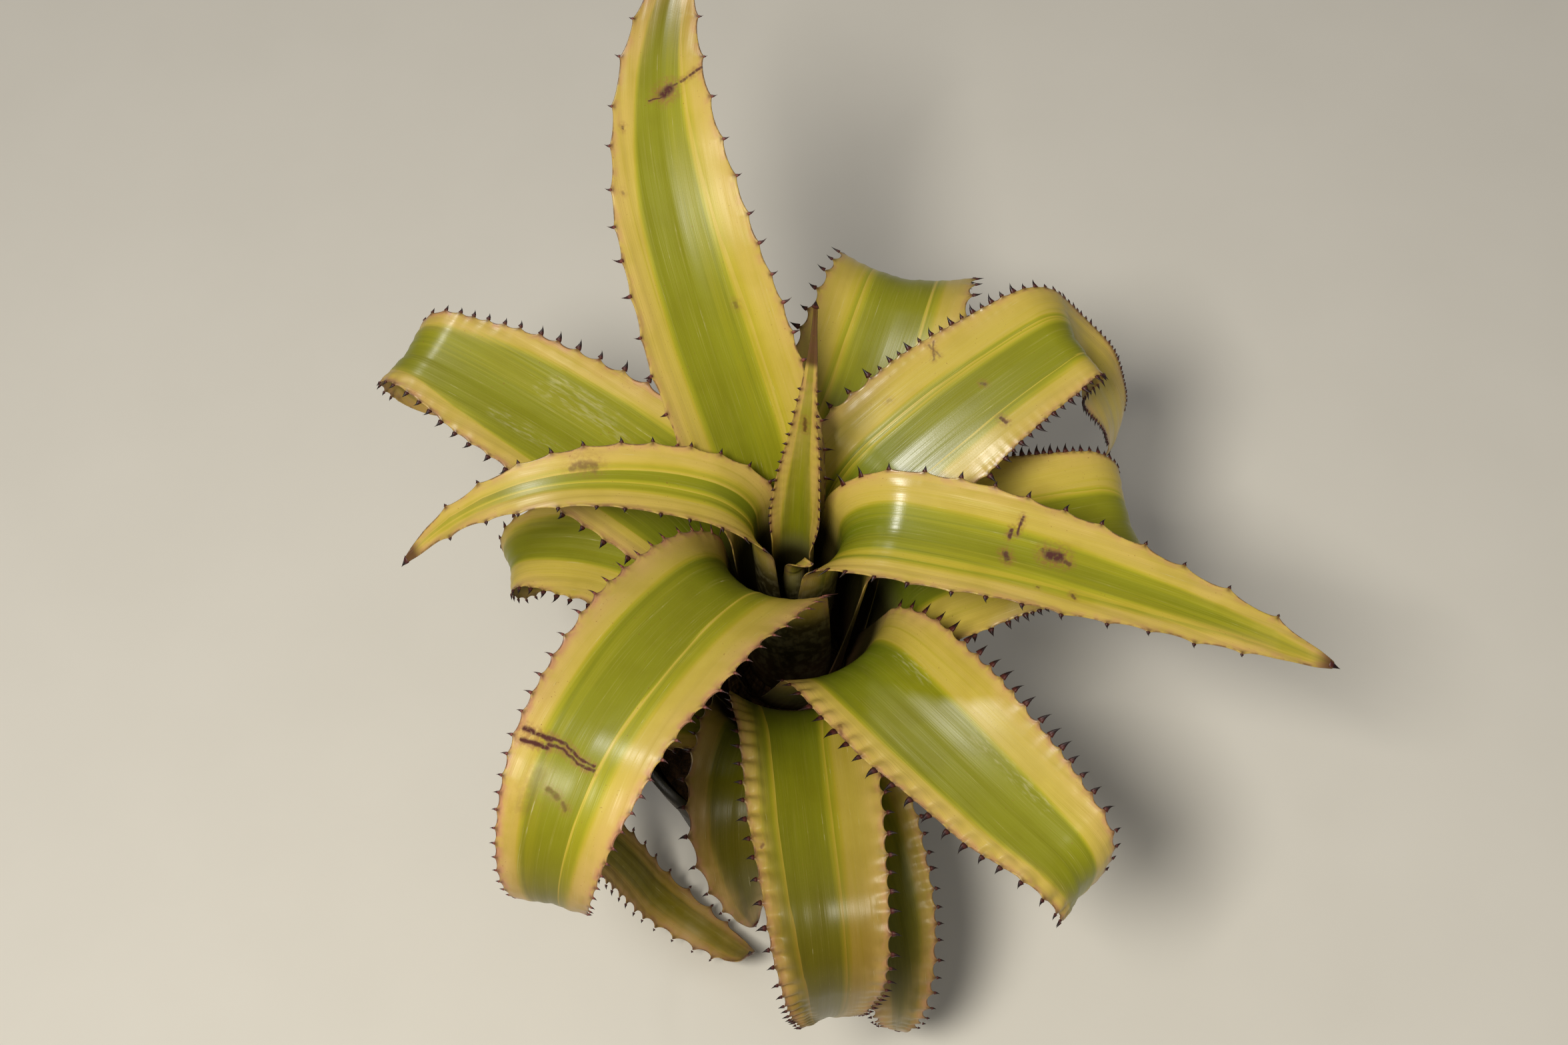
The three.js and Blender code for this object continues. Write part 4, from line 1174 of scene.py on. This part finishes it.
MIX_EDGE = pot_inner(MIX_EDGE_Z) - MIX_GAP
outer_wall = [(MIX_TOP, MIX_EDGE), (29.75, pot_inner(29.75) - MIX_GAP), (3.1, pot_inner(3.1) - MIX_GAP)]
mix_foot = [(MIX_FOOT_Z, pot_inner(1.8) - 1.3), (MIX_FOOT_Z, 0.2)]
mix_profile = [(MIX_HOLE_Z, 0.2), (MIX_HOLE_Z, MIX_HOLE), (MIX_TOP, MIX_HOLE)] + outer_wall + mix_foot
z, r, phi = turned(mix_profile, MIX_ROWS, MIX_COLUMNS)
x, y = r * np.cos(phi), r * np.sin(phi)
crumb = 0.35 * np.sin(x * 2.3 + np.sin(y * 1.7)) * np.sin(y * 2.1 + np.sin(x * 1.9))
top = np.isclose(z, MIX_TOP, atol=0.01)
height = np.where(top, mix_height(x, y) + crumb, z + 0 * phi)
body, body_faces = closed_turned(ring_points(r, phi, height), MIX_ROWS, MIX_COLUMNS)
body_faces = [f[:, ::-1] for f in body_faces]
print("top of the body:", round(float(body[:, 2].max()), 2), "mm")

# %% Bark chips
CHIPS = 340
CHIP_SIDES = 6
CHIP_RISE = 0.25
CHIP_LEVELS = np.array([-1.0, 0.0, 1.0])
CHIP_GIRTHS = np.array([0.75, 1.0, 0.7])


def chip_shapes(draw, long, wide, tall):
    """Three jagged rings a chip, long*cos and wide*sin at three levels, tilted and then turned."""
    heading = draw.uniform(0, 2 * np.pi, CHIPS)[:, None, None]
    tilt = draw.normal(0, 0.22, (CHIPS, 2))[:, :, None, None]
    jag = draw.uniform(0.72, 1.15, (CHIPS, 3, CHIP_SIDES)) * CHIP_GIRTHS[None, :, None]
    corner = np.arange(CHIP_SIDES) / CHIP_SIDES * 2 * np.pi
    a = long[:, None, None] * jag * np.cos(corner)
    b = wide[:, None, None] * jag * np.sin(corner)
    c = tall[:, None, None] * CHIP_LEVELS[None, :, None] + a * tilt[:, 0] + b * tilt[:, 1]
    return a * np.cos(heading) - b * np.sin(heading), a * np.sin(heading) + b * np.cos(heading), c


def bark_chips(draw):
    """Points of all the chips, spread evenly by area over the top of the mix and held within the pot."""
    spin = draw.uniform(0, 2 * np.pi, CHIPS)
    reach = np.sqrt(draw.uniform((MIX_HOLE + 3) ** 2, (pot_inner(MIX_EDGE_Z) - 4) ** 2, CHIPS))
    long = draw.uniform(1.6, 4.2, CHIPS)
    wide = long * draw.uniform(0.35, 0.75, CHIPS)
    tall = draw.uniform(0.5, 1.3, CHIPS)
    a, b, c = chip_shapes(draw, long, wide, tall)
    cx, cy = reach * np.cos(spin), reach * np.sin(spin)
    cz = mix_height(cx, cy) + CHIP_RISE
    places = [k[:, None, None] + part for k, part in ((cx, a), (cy, b), (cz, c))]
    chips = np.stack(places, -1).reshape(-1, 3)
    far = np.hypot(chips[:, 0], chips[:, 1])
    chips[:, :2] *= np.minimum(1, MIX_EDGE / far)[:, None]
    return chips


def chip_faces(start):
    """Sides, lower and upper end of every chip, for points that begin at a given number."""
    first = (np.arange(CHIPS) * 3 * CHIP_SIDES + start)[:, None, None]
    sides = (first + grid_faces(3, CHIP_SIDES)[None]).reshape(-1, 4)[:, ::-1]
    low = first[:, :, 0] + np.arange(CHIP_SIDES)[::-1]
    high = first[:, :, 0] + np.arange(CHIP_SIDES) + 2 * CHIP_SIDES
    return [sides, low, high]


points = np.concatenate([body, bark_chips(np.random.default_rng(7))])
faces = body_faces + chip_faces(len(body))
mix = add_piece("potting_mix_bark", "potting_mix", points, faces, smooth_faces=False)
print("chips:", CHIPS, " top of the mix:", round(float(points[:, 2].max()), 2), "mm")

# %% [markdown]
# ### Bark
# Damp bark is dark brown with paler grit. A coarse and a fine noise on the place in the pot are enough,
# because the chips themselves break up the light.

# %% Bark finish
BARK_STOPS = [(0.35, (0.012, 0.007, 0.004)), (0.55, (0.055, 0.026, 0.012)), (0.75, (0.17, 0.085, 0.04))]
mat = Finish("bark_mix")
where = mat.vector(*mat.place())
lump = mat.noise(where, 0.32, 2.0)
grit = mat.noise(where, 1.7, 4.0, 0.65)
colour = mat.ramp(mat.plus(mat.times(lump, 0.65), mat.times(grit, 0.45)), BARK_STOPS)
mix.data.materials.append(mat.close(Base_Color=colour, Roughness=0.92, Normal=mat.bump(grit, 0.0008)))
print("nodes in the bark's finish:", len(mat.tree.nodes))

# %% [markdown]
# ## The pot
# The plant stands in a plain black nursery pot with a rolled rim band and eight drain holes. The wall is
# a profile with small rounded corners turned in 160 steps. The holes are cut by a Boolean modifier, whose
# result is kept as the mesh, because eight round holes in a grid are a case where a modifier is simpler
# than a formula.

# %% Pot wall
POT_STEPS = 160
POT_STRAIGHT = 4
OUTSIDE = [(0, 0), (0, 28.6), (0.15, 29.4), (0.6, 29.85), (1.2, 30.05), (58.7, 41.44), (59.1, 41.7),
           (59.35, 42.3), (59.6, 42.8), (60.2, 43.0), (69.4, 44.45), (69.8, 44.75), (70.1, 45.2)]
INSIDE = [(70.6, 45.5), (71.3, 45.48), (71.75, 45.2), (72, 44.7), (71.95, 43.8), (71.7, 43.3),
          (71.3, 43.1), (61.6, 41.5), (60.4, 41.0), (59, 40.1), (3.2, 29.2), (2.3, 28.7), (1.9, 28.0),
          (1.8, 27.0), (1.8, 0)]
POT_PROFILE = OUTSIDE + INSIDE


def pot_wall():
    """The profile turned, with its straight stretches cut into parts of at least 4 mm."""
    profile = [POT_PROFILE[0]]
    for (z0, r0), (z1, r1) in zip(POT_PROFILE[:-1], POT_PROFILE[1:]):
        parts = max(1, int(np.hypot(z1 - z0, r1 - r0) / POT_STRAIGHT))
        profile += [(z0 + (z1 - z0) * k / parts, r0 + (r1 - r0) * k / parts) for k in range(1, parts + 1)]
    z, r = np.array(profile)[1:-1].T
    phi = np.arange(POT_STEPS) / POT_STEPS * 2 * np.pi
    return ring_points(r[:, None], phi[None, :], z[:, None]), len(z)


points, rows = pot_wall()
points, faces = closed_turned(points, rows, POT_STEPS)
pot = add_piece("pot_moulded", "pot", points, faces)
print("rows of the pot's wall:", rows)

# %% Drain holes
DRAIN_HOLES = 8
DRAIN_RADIUS = 3.2
DRAIN_RING = 22.0
DRILL_ENDS = (-2.0, 4.0)
DRILL_SIDES = 32
CORNER_ANGLE = 35


def drill_mesh():
    """Upright prisms on a ring, one for each drain hole."""
    z = np.array(DRILL_ENDS)[:, None]
    phi = (np.arange(DRILL_SIDES) / DRILL_SIDES * 2 * np.pi)[None, :]
    ends = np.arange(DRILL_SIDES)
    batches, face_sets = [], []
    for k in range(DRAIN_HOLES):
        turn = (k + 0.5) / DRAIN_HOLES * 2 * np.pi
        centre = DRAIN_RING * np.array([np.cos(turn), np.sin(turn), 0])
        batches.append(ring_points(DRAIN_RADIUS + 0 * z, phi, z) + centre)
        first = 2 * DRILL_SIDES * k
        sides = grid_faces(2, DRILL_SIDES, first)[:, ::-1]
        face_sets += [sides, (ends[::-1] + first)[None], (ends + DRILL_SIDES + first)[None]]
    mesh = bpy.data.meshes.new("drill")
    faces = [face.tolist() for batch in face_sets for face in batch]
    mesh.from_pydata((np.concatenate(batches) * MM).tolist(), [], faces)
    return mesh


drill = bpy.data.objects.new("drill", drill_mesh())
bpy.context.scene.collection.objects.link(drill)
cut = pot.modifiers.new("drain holes", "BOOLEAN")
cut.operation = "DIFFERENCE"
cut.solver = "EXACT"
cut.object = drill
drilled = bpy.data.meshes.new_from_object(pot.evaluated_get(bpy.context.evaluated_depsgraph_get()))
pot.modifiers.clear()
pot.data = drilled
pot.data.name = "pot_moulded"
pot.data.set_sharp_from_angle(angle=CORNER_ANGLE * DEG)
bpy.data.objects.remove(drill)
print("pot faces after the holes:", len(pot.data.polygons))

# %% [markdown]
# ### Pot plastic
# A nursery pot is black, a little dusty towards its foot and rubbed in level lines. The dust is a slow
# noise that grows downwards, and the rubs are a noise on the angle about the pot, drawn out round it.

# %% Plastic finish
POT_BLACK = (0.011, 0.011, 0.012)
POT_DUST = (0.16, 0.12, 0.085)
POT_RUB = (0.09, 0.09, 0.09)
mat = Finish("pot_plastic")
x, y, z = mat.place()
speck = mat.noise(mat.vector(x, y, z), 3.0, 2.0)
film = mat.noise(mat.vector(mat.times(x, 0.09), mat.times(y, 0.09), mat.times(z, 0.05)), 1.0, 4.0, 0.6)
turns = mat.math("ARCTAN2", y, x)
rub = mat.noise(mat.vector(mat.times(turns, 6.0), mat.times(z, 1.6), 2.0), 1.0, 3.0)
dust = mat.times(mat.span(film, 0.45, 0.75), mat.plus(0.35, mat.span(z, 8.0, 0.0, 0.0, 0.5)))
colour = mat.blend(mat.times(dust, 0.30), POT_BLACK, POT_DUST)
colour = mat.blend(mat.times(mat.span(rub, 0.66, 0.74), 0.20), colour, POT_RUB)
rough = mat.plus(mat.times(film, 0.18), mat.times(dust, 0.25), mat.times(speck, 0.10), 0.30)
normal = mat.bump(speck, 0.00008)
pot.data.materials.clear()
pot.data.materials.append(mat.close(Base_Color=colour, Roughness=rough, Normal=normal))
print("nodes in the pot's finish:", len(mat.tree.nodes))

# %% [markdown]
# ## Floor and light
# The plant stands on a plain pale floor. The main lamp hangs near the camera, in front and to the left,
# so the faces of the leaves are bright; the darkness of the cup is painted shade in the sheaths' colour. A
# small lamp behind and to the left only adds gloss: it lays a bright band across the two leaves on the
# right where they bend. A pale world lifts the shadows.

# %% Lamps and world
LAMP_TARGET = Vector((0, 0, 0.12))
KEY_PLACE = (-0.18, -0.37, 0.88)
SHEEN_PLACE = (-0.34, 0.39, 0.86)
WORLD_COLOUR = (1.0, 0.95, 0.87, 1.0)
WORLD_STRENGTH = 0.20


def soft_lamp(name, place, size, power, colour):
    """A round area lamp that faces the plant."""
    data = bpy.data.lights.new(name, "AREA")
    data.shape = "DISK"
    data.size = size
    data.energy = power
    data.color = colour
    lamp = bpy.data.objects.new(name, data)
    lamp.location = place
    lamp.rotation_euler = (LAMP_TARGET - Vector(place)).to_track_quat("-Z", "Y").to_euler()
    bpy.context.scene.collection.objects.link(lamp)
    return lamp


soft_lamp("key", KEY_PLACE, 0.20, 6.4, (1.0, 0.93, 0.78))
sheen = soft_lamp("sheen", SHEEN_PLACE, 0.08, 6.5, (1.0, 0.97, 0.93))
sheen.visible_diffuse = False

world = bpy.data.worlds.new("studio")
world.use_nodes = True
background = world.node_tree.nodes["Background"]
background.inputs["Color"].default_value = WORLD_COLOUR
background.inputs["Strength"].default_value = WORLD_STRENGTH
bpy.context.scene.world = world
bpy.context.scene.view_settings.view_transform = "Standard"
print("lamps:", [lamp.name for lamp in bpy.data.lights])

# %% Floor
FLOOR_HALF = 1.5
PLASTER = [(0.76, 0.75, 0.725), (0.82, 0.81, 0.79)]

floor_mesh = bpy.data.meshes.new("floor")
corners = [(-FLOOR_HALF, -FLOOR_HALF, 0), (FLOOR_HALF, -FLOOR_HALF, 0), (FLOOR_HALF, FLOOR_HALF, 0),
           (-FLOOR_HALF, FLOOR_HALF, 0)]
floor_mesh.from_pydata(corners, [], [(0, 1, 2, 3)])
floor = bpy.data.objects.new("floor", floor_mesh)
bpy.context.scene.collection.objects.link(floor)
mat = Finish("floor_plaster")
mottle = mat.noise(mat.vector(*mat.place()), 0.02, 4.0)
floor.data.materials.append(mat.close(Base_Color=mat.blend(mottle, *PLASTER), Roughness=0.8))
print("floor:", 2 * FLOOR_HALF, "m square")

# %% [markdown]
